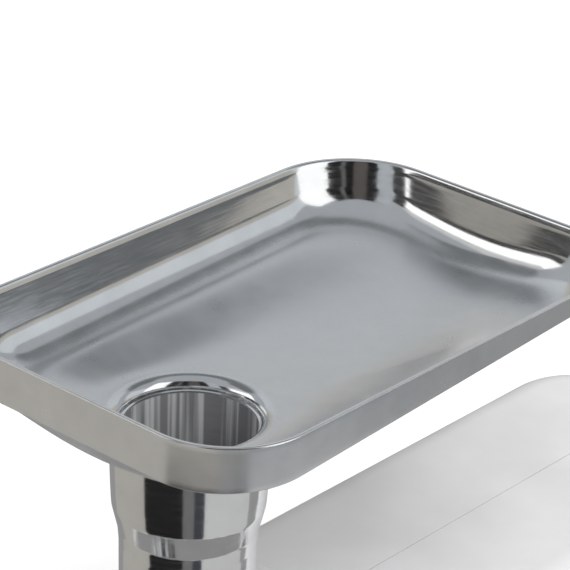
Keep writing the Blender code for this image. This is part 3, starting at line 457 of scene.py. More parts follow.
def polished_aluminium(name):
    """Cast aluminium. Its attribute polish is 1 on a mirror, 0 on satin and below 0 in the bore, where
    the colour darkens in vertical streaks: machining marks made into painted shade down the tube.
    """
    finish = Finish(name, metallic=1.0)
    polish = finish.attribute("polish")
    patches = finish.noise(16, 4)
    haze = finish.mixed(finish.spread(patches, 0, 1), (0.80, 0.805, 0.81), (0.88, 0.885, 0.89))
    upright = finish.spread(finish.noise(4, 3, (1, 1, 0.02)), 0, 0.8, 0.4, 0.6)
    bore_streaks_and_painted_shade = finish.maths("MULTIPLY", upright, finish.maths("MULTIPLY", polish, -1.0))
    bore_streaks_and_painted_shade = finish.maths("MAXIMUM", bore_streaks_and_painted_shade, 0.0)
    bare = finish.maths("MINIMUM", finish.maths("MULTIPLY_ADD", polish, 0.22, 1.0), 1.0)
    finish.link(bare, finish.shader.inputs["Metallic"])
    # Painted shade: below 0 the colour darkens in vertical streaks towards a dark grey down the bore.
    finish.colour(finish.mixed(bore_streaks_and_painted_shade, haze, (0.34, 0.34, 0.35)))
    fine = finish.noise(0.35, 2, (1, 1, 1), 0.6)
    buffing = finish.noise(0.7, 4, (0.05, 0.05, 1), 0.6)
    satin = finish.spread(patches, 0.27, 0.33)
    mirror = finish.spread(buffing, 0.07, 0.17)
    difference = finish.maths("SUBTRACT", mirror, satin)
    finish.roughness(finish.maths("MULTIPLY_ADD", polish, difference, satin))
    rough_share = finish.maths("SUBTRACT", 1.0, polish)
    finish.bump(finish.maths("MULTIPLY", fine, rough_share), 0.06, 0.05)
    finish.bump(finish.noise(11, 1), 0.10, 0.4)
    finish.bump(finish.maths("MULTIPLY", buffing, polish), 0.12, 0.05)
    return finish


def plastic(name, colour, rough, texture=0.25, grain=0.45):
    """Moulded plastic with a fine spark-eroded texture."""
    finish = Finish(name)
    cloud = finish.noise(45, 3)
    lighter = tuple(min(1, c * 1.06) for c in colour)
    darker = tuple(c * 0.95 for c in colour)
    finish.colour(finish.mixed(finish.spread(cloud, 0, 1), darker, lighter))
    fine = finish.noise(grain, 3, roughness=0.7)
    finish.roughness(finish.spread(fine, rough - 0.07, rough + 0.07))
    finish.bump(fine, texture, 0.06)
    finish.bump(finish.noise(60, 1), 0.05, 0.3)
    return finish


def laminated(name):
    """Stacked steel sheets, half a millimetre thick, along Y."""
    finish = Finish(name, metallic=1.0)
    split = finish.tree.nodes.new("ShaderNodeSeparateXYZ")
    finish.link(finish.place, split.inputs[0])
    sheets = finish.maths("PINGPONG", split.outputs["Y"], 0.5)
    face = finish.spread(sheets, 0, 1, 0.05, 0.2)
    finish.colour(finish.mixed(face, (0.10, 0.10, 0.11), (0.34, 0.34, 0.36)))
    finish.roughness(finish.spread(finish.noise(4), 0.38, 0.6))
    finish.bump(finish.spread(sheets, 0, 1, 0.0, 0.15), 0.5, 0.1)
    return finish


def wound(name):
    """Enamelled copper wire, seen as fine cords running round the motor's length."""
    finish = Finish(name, metallic=1.0)
    wires = finish.noise(1.3, 1, (1, 0.05, 1))
    finish.colour(finish.mixed(finish.spread(wires, 0, 1), (0.33, 0.10, 0.04), (0.80, 0.36, 0.18)))
    finish.roughness(finish.spread(wires, 0.42, 0.25))
    finish.bump(wires, 0.8, 0.5)
    return finish


def segmented_copper(name, centre):
    """Commutator bars with dark insulation between them and a worn track."""
    finish = Finish(name, metallic=1.0)
    _, turn = finish.radius_about("Y", centre)
    bars = finish.maths("PINGPONG", finish.maths("MULTIPLY", turn, 12 / math.pi), 0.5)
    worn = finish.noise(2.5, 3, (1, 6, 1))
    copper = finish.mixed(finish.spread(worn, 0, 1), (0.60, 0.27, 0.13), (0.84, 0.42, 0.25))
    edge = finish.spread(bars, 0, 1, 0.03, 0.07)
    finish.colour(finish.mixed(edge, (0.03, 0.02, 0.02), copper))
    finish.roughness(finish.spread(worn, 0.25, 0.45))
    finish.bump(edge, 0.6, 0.2)
    return finish


def turned_steel(name, tint, rough, axis, centre):
    """Machined metal with fine concentric tool marks."""
    finish = Finish(name, metallic=1.0)
    pitch = 0.35
    radius, _ = finish.radius_about(axis, centre)
    marks = finish.maths("PINGPONG", radius, pitch)
    cloud = finish.noise(8, 4)
    dark = tuple(c * 0.84 for c in tint)
    finish.colour(finish.mixed(finish.spread(cloud, 0, 1), dark, tint))
    level = finish.spread(cloud, rough * 0.85, rough * 1.2)
    finish.roughness(finish.maths("ADD", level, finish.spread(marks, -0.04, 0.04, 0, pitch)))
    finish.bump(marks, 0.12, 0.05)
    finish.bump(finish.noise(0.6, 2), 0.05, 0.05)
    return finish


def rubber(name):
    finish = Finish(name)
    dust = finish.noise(3, 5)
    dusty = finish.spread(dust, 0, 1, 0.5, 0.8)
    finish.colour(finish.mixed(dusty, (0.022, 0.022, 0.023), (0.06, 0.058, 0.055)))
    finish.roughness(finish.spread(dust, 0.7, 0.92))
    finish.bump(finish.noise(0.3, 2), 0.2, 0.05)
    return finish


def make_finishes():
    motor_axis = middle("motor_shaft")
    barrel_axis = (0, 0, BARREL_Z)
    made = {
        "housing_plastic": plastic("housing_plastic", (0.66, 0.66, 0.665), 0.46),
        # front_plastic is the housing's grey darkened to a third: painted shade on the front face below
        # the tray.
        "front_plastic": plastic("front_plastic", (0.21, 0.21, 0.215), 0.48),
        "black_plastic": plastic("black_plastic", (0.018, 0.018, 0.019), 0.42, 0.3),
        "switch_plastic": plastic("switch_plastic", (0.42, 0.022, 0.016), 0.28, 0.08, 1.2),
        "gear_plastic": plastic("gear_plastic", (0.74, 0.71, 0.62), 0.42, 0.1, 1.0),
        "polished_aluminium": polished_aluminium("polished_aluminium"),
        "cast_aluminium": metal("cast_aluminium", (0.66, 0.665, 0.67), 0.40, scratch=0.25),
        "bright_steel": turned_steel("bright_steel", (0.66, 0.66, 0.67), 0.26, "Y", barrel_axis),
        "zinc_steel": metal("zinc_steel", (0.64, 0.635, 0.60), 0.32),
        "lamination_steel": laminated("lamination_steel"),
        "copper": wound("copper"),
        "bronze": metal("bronze", (0.55, 0.37, 0.17), 0.42, scratch=0.3),
        "carbon": plastic("carbon", (0.03, 0.03, 0.032), 0.6, 0.3, 0.25),
        "rubber": rubber("rubber"),
    }
    made["commutator"] = segmented_copper("commutator_copper", motor_axis)
    made = {key: finish.material for key, finish in made.items()}
    return made


FINISH = make_finishes()


# ---------------------------------------------------------------- camera, floor and light


def make_camera():
    """A long lens above the front right, looking down at the tray's front half."""
    target = Vector((0, TUBE_Y, CUP_Z))
    data = bpy.data.cameras.new("camera")
    data.lens = 171
    data.sensor_width = 36
    camera = bpy.data.objects.new("camera", data)
    forward = Vector((-0.59264, 0.67999, -0.43173)).normalized()
    right = Vector((0.74350, 0.66799, 0.03150)).normalized()
    up = right.cross(forward)
    turn = Matrix((right, up, -forward)).transposed().to_4x4()
    camera.matrix_world = Matrix.Translation(target + Vector((0.6205, -0.660, 0.4933))) @ turn
    bpy.context.scene.collection.objects.link(camera)
    bpy.context.scene.camera = camera


def glow(name, colour, strength):
    material = bpy.data.materials.new(name)
    material.use_nodes = True
    nodes, links = material.node_tree.nodes, material.node_tree.links
    nodes.clear()
    emission = nodes.new("ShaderNodeEmission")
    emission.inputs["Color"].default_value = (*colour, 1)
    emission.inputs["Strength"].default_value = strength
    output = nodes.new("ShaderNodeOutputMaterial")
    links.new(emission.outputs[0], output.inputs["Surface"])
    return material


def only_reflected(obj):
    """Seen in glossy surfaces only, like a card held outside the picture."""
    obj.visible_camera = False
    obj.visible_diffuse = False
    obj.visible_transmission = False
    obj.visible_shadow = False
    obj.visible_volume_scatter = False


def towards(azimuth, elevation):
    """A direction: azimuth is counter-clockwise from +X."""
    a, e = math.radians(azimuth), math.radians(elevation)
    return Vector((math.cos(a) * math.cos(e), math.sin(a) * math.cos(e), math.sin(e)))


def glowing_sheet(name, rows, colour, strength):
    """A sheet of light over rows of points, which only polished metal sees."""
    bm = bmesh.new()
    rows = [[bm.verts.new(point) for point in row] for row in rows]
    for near, far in zip(rows, rows[1:]):
        for i in range(len(near) - 1):
            bm.faces.new((near[i], far[i], far[i + 1], near[i + 1]))
    obj = to_object(name, bm, math.pi)
    obj.data.materials.append(glow(name, colour, strength))
    only_reflected(obj)


def steps_between(ends, steps):
    return [ends[0] + (ends[1] - ends[0]) * i / steps for i in range(steps + 1)]


def card(name, azimuths, elevations, distance, colour, strength):
    """A piece of a sphere round the tray, between two azimuths and two elevations."""
    centre = Vector((0, TUBE_Y, CUP_Z))
    rows = []
    for azimuth in steps_between(azimuths, 12):
        aims = [towards(azimuth, elevation) for elevation in steps_between(elevations, 12)]
        rows.append([centre + distance * aim for aim in aims])
    glowing_sheet(name, rows, colour, strength)


def floor_sector(name, azimuths, radii, colour, strength):
    """A sector of the table round the feed throat, as polished metal sees it."""
    centre = Vector((0, TUBE_Y, 0.2 * MM))
    aims = [towards(azimuth, 0) for azimuth in steps_between(azimuths, 16)]
    glowing_sheet(name, [[centre + radius * aim for aim in aims] for radius in radii], colour, strength)


WARM, COOL, NEUTRAL = (1.0, 0.96, 0.88), (0.90, 0.95, 1.0), (1, 1, 1)

# Cards that only polished metal sees: (name, azimuths, elevations, distance, colour, strength)
CARDS = (
    ("ceiling", (0, 360), (-1, 90), 3.0, COOL, 0.42),
    # seen in the dish's rear wall and its cove
    ("key_low", (-160, -118), (-1, 14), 2.2, WARM, 0.34),
    ("key_gap", (-160, -115), (14, 24), 2.2, NEUTRAL, 0.06),
    ("key_box", (-165, -112), (24, 40), 2.2, NEUTRAL, 1.3),
    ("key_edge", (-165, -112), (40, 48), 2.2, NEUTRAL, 0.60),
    # seen in the left wall and its cove
    ("side_low", (33, 75), (-1, 11), 2.2, COOL, 0.15),
    ("side_warm", (33, 75), (11, 19), 2.2, WARM, 0.45),
    ("side_box", (33, 75), (19, 42), 2.2, COOL, 0.66),
    # stripes seen in the rear left corner, from left to right
    ("corner_white", (-5, 33), (-1, 62), 2.2, NEUTRAL, 1.2),
    ("corner_dark", (-24, -5), (-1, 66), 2.2, NEUTRAL, 0.018),
    ("corner_grey", (-30, -24), (-1, 66), 2.2, NEUTRAL, 0.14),
    ("corner_black", (-42, -30), (-1, 66), 2.2, NEUTRAL, 0.01),
    ("corner_brown", (-62, -42), (-1, 66), 2.2, (1.0, 0.9, 0.85), 0.10),
    ("corner_edge", (-76, -62), (-1, 66), 2.2, NEUTRAL, 0.015),
    ("corner_blue", (-97, -76), (-1, 60), 2.2, COOL, 0.48),
    ("corner_end", (-115, -97), (-1, 46), 2.2, NEUTRAL, 0.05),
    # seen in the dish's floor
    ("far_low", (95, 165), (-1, 24), 2.2, WARM, 0.45),
    ("far_middle", (95, 165), (24, 45), 2.2, COOL, 0.60),
    ("far_high", (80, 205), (45, 64), 2.2, COOL, 0.18),
)
# (name, azimuths, radii, colour, strength)
FLOOR_SECTORS = (
    ("table_left", (-180, -113), (0.27, 4), WARM, 0.42),
    ("table_dark", (-113, -55), (0.27, 0.63), NEUTRAL, 0.015),
    ("table_front", (-113, -55), (0.63, 4), WARM, 0.46),
    ("table_middle", (-55, -39), (0.27, 0.63), NEUTRAL, 0.16),
    ("table_blue", (-39, -24), (0.27, 0.63), (0.8, 0.85, 1.0), 0.06),
    ("table_near", (-55, -24), (0.63, 4), NEUTRAL, 0.32),
    ("table_right", (-24, 50), (0.27, 0.63), NEUTRAL, 0.55),
    ("table_side", (-24, 50), (0.63, 4), COOL, 0.30),
    ("table_far", (50, 180), (0.27, 4), NEUTRAL, 0.30),
    ("table_foot", (-180, 180), (0, 0.27), NEUTRAL, 0.27),
)


def make_stage():
    bpy.ops.mesh.primitive_circle_add(vertices=64, radius=14, fill_type="NGON")
    floor = bpy.context.object
    floor.name = "floor"
    pale = Finish("pale_floor", Specular_IOR_Level=0.0)
    cloud = pale.noise(700, 2)
    pale.colour(pale.mixed(cloud, (0.86, 0.86, 0.86), (0.89, 0.89, 0.89)))
    pale.set(Roughness=1.0, Emission_Color=(1, 1, 1, 1), Emission_Strength=0.12)
    floor.data.materials.append(pale.material)

    world = bpy.data.worlds.new("studio")
    world.use_nodes = True
    background = world.node_tree.nodes["Background"]
    background.inputs["Color"].default_value = (1, 1, 1, 1)
    background.inputs["Strength"].default_value = 0.50
    world.cycles_visibility.glossy = False
    bpy.context.scene.world = world

    sun = bpy.data.lights.new("soft_key", "SUN")
    sun.energy = 3.0
    sun.angle = math.radians(50)
    lamp = bpy.data.objects.new("soft_key", sun)
    lamp.rotation_euler = towards(-20, 50).to_track_quat("Z", "Y").to_euler()
    lamp.visible_glossy = False
    bpy.context.scene.collection.objects.link(lamp)

    for entry in CARDS:
        card(*entry)
    for sector in FLOOR_SECTORS:
        floor_sector(*sector)
    bpy.context.scene.view_settings.view_transform = "Standard"


# ---------------------------------------------------------------- food tray


def tray_outline(inset):
    tightening = CORNER_TIGHTENING * inset
    return rounded_outline(
        tray_low.x + inset, tray_high.x - inset, tray_low.y + inset, tray_high.y - inset,
        RIM_FRONT_RADIUS - tightening, RIM_REAR_RADIUS - tightening, steps=26, between=12,
    )


def floor_z(x, y):
    """Height of the dish's floor, which falls towards the front and towards its middle."""
    across = min(1, abs(x) / (tray_high.x - COVE_CENTRE))
    return RIM_Z - DISH_DEPTH + DISH_RISE * (y - TUBE_Y) - DISH_SAG * (1 - across**2) ** 2


def floor_ring(share, thickness, land_radius=LAND_RADIUS):
    """A ring of the floor: share 0 is the edge of the land round the hole, 1 the cove's foot."""
    ring = []
    for x, y in tray_outline(COVE_CENTRE):
        away = Vector((x, y - TUBE_Y))
        place = (away.normalized() * land_radius).lerp(away, share) + Vector((0, TUBE_Y))
        settled = share * share * (3 - 2 * share)
        height = (RIM_Z - LAND_DEPTH) * (1 - settled) + floor_z(*place) * settled
        ring.append((*place, height - thickness))
    return ring


def cove_ring(radius, angle):
    rise = COVE_RADIUS - radius * math.cos(angle)
    outline = tray_outline(COVE_CENTRE - radius * math.sin(angle))
    return [(x, y, floor_z(x, y) + rise) for x, y in outline]


def rim_ring(inset, depth):
    return [(x, y, RIM_Z - depth) for x, y in tray_outline(inset)]


def band_ring(inset, lift):
    """A ring near the band's lower edge, which climbs towards the rear."""
    low = RIM_Z - BAND_DEPTH + lift
    return [(x, y, low + BAND_RISE * (y - tray_low.y)) for x, y in tray_outline(inset)]


def tray_rings():
    """(ring, polish) from the hole's land below, round the rim, to the land above."""
    rings = [(floor_ring(step / 8, TRAY_WALL, 36 * MM), 0.2) for step in range(8)]
    for step in range(12):
        angle = math.radians(60) * step / 11
        rings.append((cove_ring(COVE_RADIUS + TRAY_WALL, angle), 0.45))
    bead = ((2.9, -0.4, 0), (2.3, 0.5, 0.6), (1.3, 0.4, 0.4), (0.6, 0, 0.5), (0, 0.6, 0.7), (0, 3, 0))
    for inset, lift in rounded(bead, False, 5):
        rings.append((band_ring(inset * MM, lift * MM), 0.3))
    lip = ((0, 2.4, 0), (0, 0, 0.8), (2.0, 0, 1.6), (3.1, 2.4, 2.6), (3.7, 4.2, 0))
    for inset, depth in rounded(lip, False, 7):
        rings.append((rim_ring(inset * MM, depth * MM), 0.35 if inset < 0.4 else 1.0))
    top = math.pi / 2 - WALL_LEAN
    for step in range(25):
        angle = top * (1 - step / 24)
        share = min(1, max(0, (math.degrees(angle) - 12) / 30))
        rings.append((cove_ring(COVE_RADIUS, angle), share))
    rings += [(floor_ring(1 - step / 14, 0), 0.0) for step in range(1, 15)]
    return rings


def make_tray():
    bm = bmesh.new()
    polish = bm.verts.layers.float.new("polish")

    def add_ring(points, amount):
        ring = [bm.verts.new(point) for point in points]
        for vert in ring:
            vert[polish] = amount
        return ring

    def bridge(rings):
        count = len(rings[0])
        for lower, upper in zip(rings, rings[1:]):
            for i in range(count):
                j = (i + 1) % count
                bm.faces.new((lower[i], lower[j], upper[j], upper[i]))

    def fill_between(first, second):
        edges = []
        for ring in (first, second):
            for i, vert in enumerate(ring):
                edges.append(bm.edges.get((vert, ring[(i + 1) % len(ring)])))
        bmesh.ops.triangle_fill(bm, edges=edges, use_beauty=True)

    shell = [add_ring(*entry) for entry in tray_rings()]
    bridge(shell)
    cup, land = CUP_Z / MM, (RIM_Z - LAND_DEPTH) / MM
    spigot_end = cup - SPIGOT_LENGTH / MM
    drop = land - cup - 0.7
    bell = []
    for step in range(15):
        angle = math.radians(90) * step / 14
        bell.append((33.1 - 6.2 * math.sin(angle), land - drop + drop * math.cos(angle), 0))
    mouth = (
        (26.2, cup + 0.4, 0.4), (26.2, cup - 0.6, 0), (26.2, spigot_end, 0.6),
        (27.8, spigot_end, 0.5), (27.8, cup - 6.6, 0.3), (31.5, cup - 6.6, 0.8),
        (32.4, cup - 1.2, 2), (34.5, land - TRAY_WALL / MM, 0),
    )
    sides = 128
    hole = []
    for radius, along in [point[:2] for point in bell] + rounded(mouth, False, 9):
        points = []
        for i in range(sides):
            x, y, z = on_axis("Z", radius * MM, 2 * math.pi * i / sides, along * MM)
            points.append((x, y + TUBE_Y, z))
        # In the bore the polish drops below 0, which paints shade into the colour as dark vertical
        # streaks.
        in_bore = radius < 26.5 and along < cup - 0.5
        hole.append(add_ring(points, -1.6 if in_bore else min(1.0, max(0.0, (33 - radius) / 3))))
    bridge(hole)
    fill_between(shell[-1], hole[0])
    fill_between(shell[0], hole[-1])
    return to_object("food_tray", bm, math.radians(50))


# ---------------------------------------------------------------- head


def set_polish(obj, amount=1.0):
    layer = obj.data.attributes.new("polish", "FLOAT", "POINT")
    layer.data.foreach_set("value", [amount] * len(obj.data.vertices))
    return obj


def throat_foot(around, share, radius=26.6 * MM, fillet=8 * MM):
    """A ring of the fillet between throat and barrel: share 0 is its top, 1 lies on the barrel."""
    rise = fillet * (1 - share)
    ring = []
    for turn in around:
        reach = 0.25 + 0.75 * math.sin(turn) ** 2
        flare = (fillet - math.sqrt(fillet**2 - (fillet - rise) ** 2)) * reach
        x, y, _ = on_axis("Z", radius + flare, turn, 0)
        ring.append((x, y, BARREL_Z + math.sqrt((31 * MM) ** 2 - x**2) + rise))
    return ring


def make_head_casting():
    """Barrel, neck and throat in one casting, with a fillet where the throat meets the barrel."""
    front = PLATE_FRONT / MM + 1.5
    cup = CUP_Z / MM
    barrel_profile = [
        (0, -50), (22, -50, 1.2), (22, -78, 4), (31, -84.5, 4), (31, -186, 4), (35.2, -190.5, 1),
    ]
    for turn in range(10):
        crest = -192.5 - 2.2 * turn
        barrel_profile += [(35.2, crest, 0.3), (33.9, crest - 1.1, 0.3)]
    barrel_profile += [(35.2, front, 0.6), (0, front)]
    head = turned("grinder_head", barrel_profile, "Y", (0, 0, BARREL_Z), 128)
    profile = (
        (31.2, cup - 7, 0), (31.0, cup - 8.5, 0.5), (30.4, cup - 26, 6), (30.0, cup - 33, 12),
        (27.5, cup - 43.5, 10), (27.0, cup - 50, 4), (26.6, 182, 0),
    )
    around = [2 * math.pi * i / 128 for i in range(128)]
    rings = []
    for radius, along in rounded(profile, False, 7):
        rings.append([on_axis("Z", radius * MM, turn, along * MM) for turn in around])
    rings += [throat_foot(around, step / 12) for step in range(13)]
    rings.append([(x * 0.97, y * 0.97, z - 3 * MM) for x, y, z in rings[-1]])
    rings.append([on_axis("Z", 15 * MM, turn, BARREL_Z) for turn in around])
    throat = skin("throat_blank", [[(x, y + TUBE_Y, z) for x, y, z in ring] for ring in rings])
    bore = turned(
        "throat_bore",
        [
            (0, cup - 6), (28.8, cup - 6, 0), (28.2, cup - 8, 0.4), (28.2, cup - 30, 0.5),
            (24, cup - 34, 2), (24, BARREL_Z / MM - 5), (0, BARREL_Z / MM - 5),
        ],
        "Z",
        (0, TUBE_Y, 0), 128,
    )
    seat = PLATE_BACK / MM + 0.3
    barrel_bore = turned(
        "barrel_bore",
        [
            (0, -49), (9.1, -49), (9.1, -92), (26, -92, 1), (26, seat, 0.4), (31.5, seat),
            (31.5, front - 1), (0, front - 1),
        ],
        "Y",
        (0, 0, BARREL_Z), 128,
    )
    boolean(head, throat, operation="UNION")
    boolean(head, bore, barrel_bore)
    return set_polish(head)


def make_ring_nut():
    """A nut with twelve soft lobes and an inner lip that holds the plate."""
    lobes, around = 12, 288
    lip_back = PLATE_FRONT / MM - 0.3
    front, back = MOUTH_Y / MM, -192
    profile = (
        (38.6, back, 0.8), (39.9, back - 1.6, 1.0), (40.0, back - 5, 4.0), (40.0, front + 9, 5.0),
        (38.4, front + 2.6, 3.0), (36.2, front, 2.2), (30.5, front, 1.0),
        (29.5, front + 0.9, 1.0), (26.2, front + 0.9, 1.0), (25.5, front + 2.0, 0.6),
        (25.5, lip_back, 0.4), (35.8, lip_back, 0.3), (35.8, back, 0.4),
    )
    rings = []
    for radius, along in rounded(profile, True, 5):
        lobe = 2.2 * max(0, (radius - 36.2) / 3.8)
        ring = []
        for i in range(around):
            turn = 2 * math.pi * i / around
            wave = math.cos(lobes * turn)
            out = radius + lobe * (wave + 0.18 * (1 - wave * wave))
            ring.append(on_axis("Y", out * MM, turn, along * MM))
        rings.append([(x, y, z + BARREL_Z) for x, y, z in ring])
    return set_polish(skin("clamp_ring", rings, ring_shaped=True, sharp=math.radians(50)), 0.75)


def make_grinding_plate():
    holes = []
    for ring_radius, count in ((8.3, 8), (14.4, 14), (20.7, 20)):
        for i in range(count):
            turn = 2 * math.pi * (i + 0.5) / count
            holes.append(circle(2.25 * MM, polar(ring_radius * MM, turn), 20))
    outlines = [circle(31 * MM, count=ROUND), circle(4.35 * MM, count=28), *holes]
    return flat_plate(
        "mincing_plate", outlines, PLATE_FRONT, PLATE_BACK, 0.2 * MM, centre=(0, BARREL_Z)
    )


def make_knife():
    """Four arms that taper to their cutting edges, with a square hole for the auger's nose."""
    outline = []
    for arm in range(4):
        turn = math.pi / 2 * arm
        for radius, offset in ((23.6, -0.19), (24.5, -0.12), (24.6, 0.10), (23.8, 0.17)):
            outline.append(polar(radius * MM, turn + offset))
        for step in range(7):
            share = step / 6
            radius = 10.4 + 2.2 * (2 * share - 1) ** 2
            offset = 0.40 + share * 0.76
            outline.append(polar(radius * MM, turn + offset))
    half = 4.8 * MM
    square = [(x * half, y * half) for x, y in ((1, 1), (-1, 1), (-1, -1), (1, -1))]
    low = PLATE_BACK + 0.3 * MM
    return flat_plate(
        "knife_cross", [outline, square], low, low + 9 * MM, 0.5 * MM, centre=(0, BARREL_Z)
    )


def make_auger():
    """A tapered core with its nose, journal and hexagonal tail, and one long helical flight."""
    nose = PLATE_FRONT / MM
    core = turned(
        "feed_auger",
        [
            (0, -50), (8.7, -50, 0.6), (8.7, -95.5, 0.8), (13, -95.5, 1), (9.5, -198, 1),
            (4, -198, 0.6), (4, nose, 0.8), (0, nose),
        ],
        "Y",
        (0, 0, BARREL_Z), 64,
    )
    pitch, per_turn = 27 * MM, 48
    first, last = -194 * MM, -99.5 * MM
    steps = round((last - first) / pitch * per_turn)
    section = rounded(
        ((6, -4.0), (12.5, -2.9, 4), (25.2, -1.4, 0.7), (25.2, 1.4, 0.7), (12.5, 2.9, 4), (6, 4.0)),
        False, 4,
    )
    rings = []
    for step in range(steps + 1):
        turn = 2 * math.pi * step / per_turn
        along = first + (last - first) * step / steps
        ring = [on_axis("Y", r * MM, turn, along + y * MM) for r, y in section]
        rings.append([(x, y, z + BARREL_Z) for x, y, z in ring])
    flight = skin("flight_blank", rings)
    bm = bmesh.new()
    half = 4.5 * MM
    add_box(bm, (-half, -208.5 * MM, BARREL_Z - half), (half, -197 * MM, BARREL_Z + half))
    square = to_object("nose_blank", bm)
    hexagon = turned(
        "tail_blank", [(0, -36), (5.7, -36), (5.7, -51), (0, -51)], "Y", (0, 0, BARREL_Z), 6
    )
    return welded(boolean(core, flight, square, hexagon, operation="UNION"))


# ---------------------------------------------------------------- housing


def housing_levels(wall, bottom):
    """(inset, height) up the housing's skin, or up its hollow when wall is not 0."""
    fillet = TOP_FILLET - wall
    shoulder = HOUSING_TOP - TOP_FILLET
    levels = []
    if wall:
        levels.append((0, bottom))
    else:
        rounding = 2 * MM
        for step in range(5):
            angle = math.pi / 2 * step / 4
            rise = rounding * (1 - math.cos(angle))
            levels.append((rounding * (1 - math.sin(angle)), bottom + rise))
    levels.append((0, shoulder))
    steps = 14
    for step in range(1, steps + 1):
        angle = math.pi / 2 * step / steps
        levels.append((fillet * (1 - math.cos(angle)), shoulder + fillet * math.sin(angle)))
    return levels


def housing_rings(wall, bottom):
    rings = []
    for inset, z in housing_levels(wall, bottom):
        outline = rounded_outline(
            inset - HALF_WIDTH + wall, HALF_WIDTH - wall - inset,
            HOUSING_FRONT + wall + inset * 0.1, HOUSING_REAR - wall - inset, FRONT_CORNER - wall,
            REAR_CORNER - wall - inset, steps=16,
        )
        rings.append([(x, y, z) for x, y in outline])
    return rings


def cover_outline(inset):
    half = HALF_WIDTH - COVER_INSET - inset
    return rounded_outline(
        -half, half, HOUSING_BOTTOM + COVER_INSET + inset, HOUSING_TOP - COVER_INSET - inset,
        6 * MM - inset, TOP_FILLET - COVER_INSET - inset, steps=10,
    )


def vent_cutter(side):
    """Round-ended slots in the side wall and in the rear wall."""
    bm = bmesh.new()
    wall = side * (HALF_WIDTH - 1 * MM)
    for i in range(6):
        y = (114 + 9 * i) * MM
        add_slot(bm, "X", wall, (y, 62 * MM), (y, 113 * MM), 2 * MM, 4 * MM)
    for i in range(6):
        z = (72 + 9 * i) * MM
        ends = (side * 6 * MM, z), (side * 20 * MM, z)
        add_slot(bm, "Y", HOUSING_REAR - 1.5 * MM, *ends, 2 * MM, 4.5 * MM)
    return to_object("vent_cutter", bm)


def add_slot(bm, axis, along, start, end, radius, depth, steps=8):
    """A prism with round ends through a wall that faces the axis."""
    start, end = Vector(start), Vector(end)
    aim = math.atan2(end.y - start.y, end.x - start.x)
    outline = []
    for centre, first in ((end, aim - math.pi / 2), (start, aim + math.pi / 2)):
        for step in range(steps + 1):
            angle = first + math.pi * step / steps
            outline.append(centre + radius * Vector((math.cos(angle), math.sin(angle))))
    layers = []
    for place in (along - depth, along + depth):
        if axis == "X":
            layers.append([bm.verts.new((place, p.x, p.y)) for p in outline])
        else:
            layers.append([bm.verts.new((p.x, place, p.y)) for p in outline])
    count = len(outline)
    for i in range(count):
        j = (i + 1) % count
        bm.faces.new((layers[0][i], layers[0][j], layers[1][j], layers[1][i]))
    bm.faces.new(layers[0])
    bm.faces.new(layers[1])


def cylinder(name, axis, origin, radius, start, end, sides=SMALL_ROUND):
    profile = [(0, end), (radius, end), (radius, start), (0, start)]
    return turned(name, profile, axis, origin, sides)


def make_shell(name, side):
    """Half of the housing, side being -1 or 1, with its bosses, vents and screw posts."""
    shell = skin(name, housing_rings(0, HOUSING_BOTTOM))
    hollow = skin("hollow", housing_rings(HOUSING_WALL, HOUSING_BOTTOM - 3 * MM))
    ends = (HOUSING_FRONT - 3 * MM, HOUSING_FRONT + 9 * MM)
    opening = skin("opening", [[(x, y, z) for x, z in cover_outline(0)] for y in ends])
    boolean(shell, hollow)
    boolean(shell, opening)
    bm = bmesh.new()
    half = sorted((side * SEAM / 2, -side * 100 * MM))
    add_box(bm, (half[0], -60 * MM, -10 * MM), (half[1], 240 * MM, 210 * MM))
    boolean(shell, to_object("half", bm))
    boolean(shell, vent_cutter(side))
    for where in ("front", "rear"):
        foot = middle(f"foot_{where}_{'left' if side < 0 else 'right'}")
        profile = [(0, 36.4), (7, 36.4, 1), (11.5, 28, 1), (11.5, 16.4), (0, 16.4)]
        boss = turned("boss", profile, "Z", (foot.x, foot.y, 0), SMALL_ROUND)
        pilot = cylinder("pilot", "Z", (foot.x, foot.y, 0), 1.9, 10, 32, 24)
        boolean(shell, boss, operation="UNION")
        boolean(shell, pilot)
    if side > 0:
        bezel = middle("switch_bezel")
        bm = bmesh.new()
        reach = Vector((0.0075, 0.0165, 0.0115))
        centre = Vector((HALF_WIDTH - 2.5 * MM, bezel.y, bezel.z))
        add_box(bm, centre - reach, centre + reach)
        boolean(shell, to_object("switch_opening", bm))
    else:
        gland = middle("cord_gland")
        rear = HOUSING_REAR / MM
        origin = (gland.x, 0, gland.z)
        boolean(shell, cylinder("gland_hole", "Y", origin, 6.3, rear - 7, rear + 8))
        for height in ("low", "high"):
            screw = middle("shell_screw_" + height)
            well = cylinder("well", "X", (0, screw.y, screw.z), 4.3, -75, -60, 32)
            boolean(shell, well)
    return bevelled(shell, 0.55 * MM)


def make_front_cover():
    screws = [middle(n) for n in NODES if n.startswith("cover_screw_")]
    holes = [circle(1.8 * MM, (screw.x, screw.z), 24) for screw in screws]
    outlines = [cover_outline(0.3 * MM), circle(30.4 * MM, (0, BARREL_Z), ROUND), *holes]
    return flat_plate("front_panel", outlines, HOUSING_FRONT, HOUSING_FRONT + 3.5 * MM, 0.6 * MM)


def make_base_plate():
    clear = HOUSING_WALL + 0.3 * MM
    low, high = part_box("base_plate")
    outline = rounded_outline(
        clear - HALF_WIDTH, HALF_WIDTH - clear, HOUSING_FRONT + clear, HOUSING_REAR - clear,
        FRONT_CORNER - HOUSING_WALL, REAR_CORNER - HOUSING_WALL,
    )
    feet = [middle(n) for n in NODES if n.startswith("foot_screw_")]
    holes = [circle(2 * MM, (foot.x, foot.y), 24) for foot in feet]
    slots = []
    for i in range(6):
        x = (-25 + 10 * i) * MM
        slot = rounded_outline(
            x - 2.5 * MM, x + 2.5 * MM, 60 * MM, 110 * MM, 2.4 * MM, 2.4 * MM, steps=6
        )
        slots.append(slot)
    return flat_plate(
        "bottom_plate", [outline, *holes, *slots], low.z, high.z, 0.5 * MM, upright=False
    )


# ---------------------------------------------------------------- small outer pieces


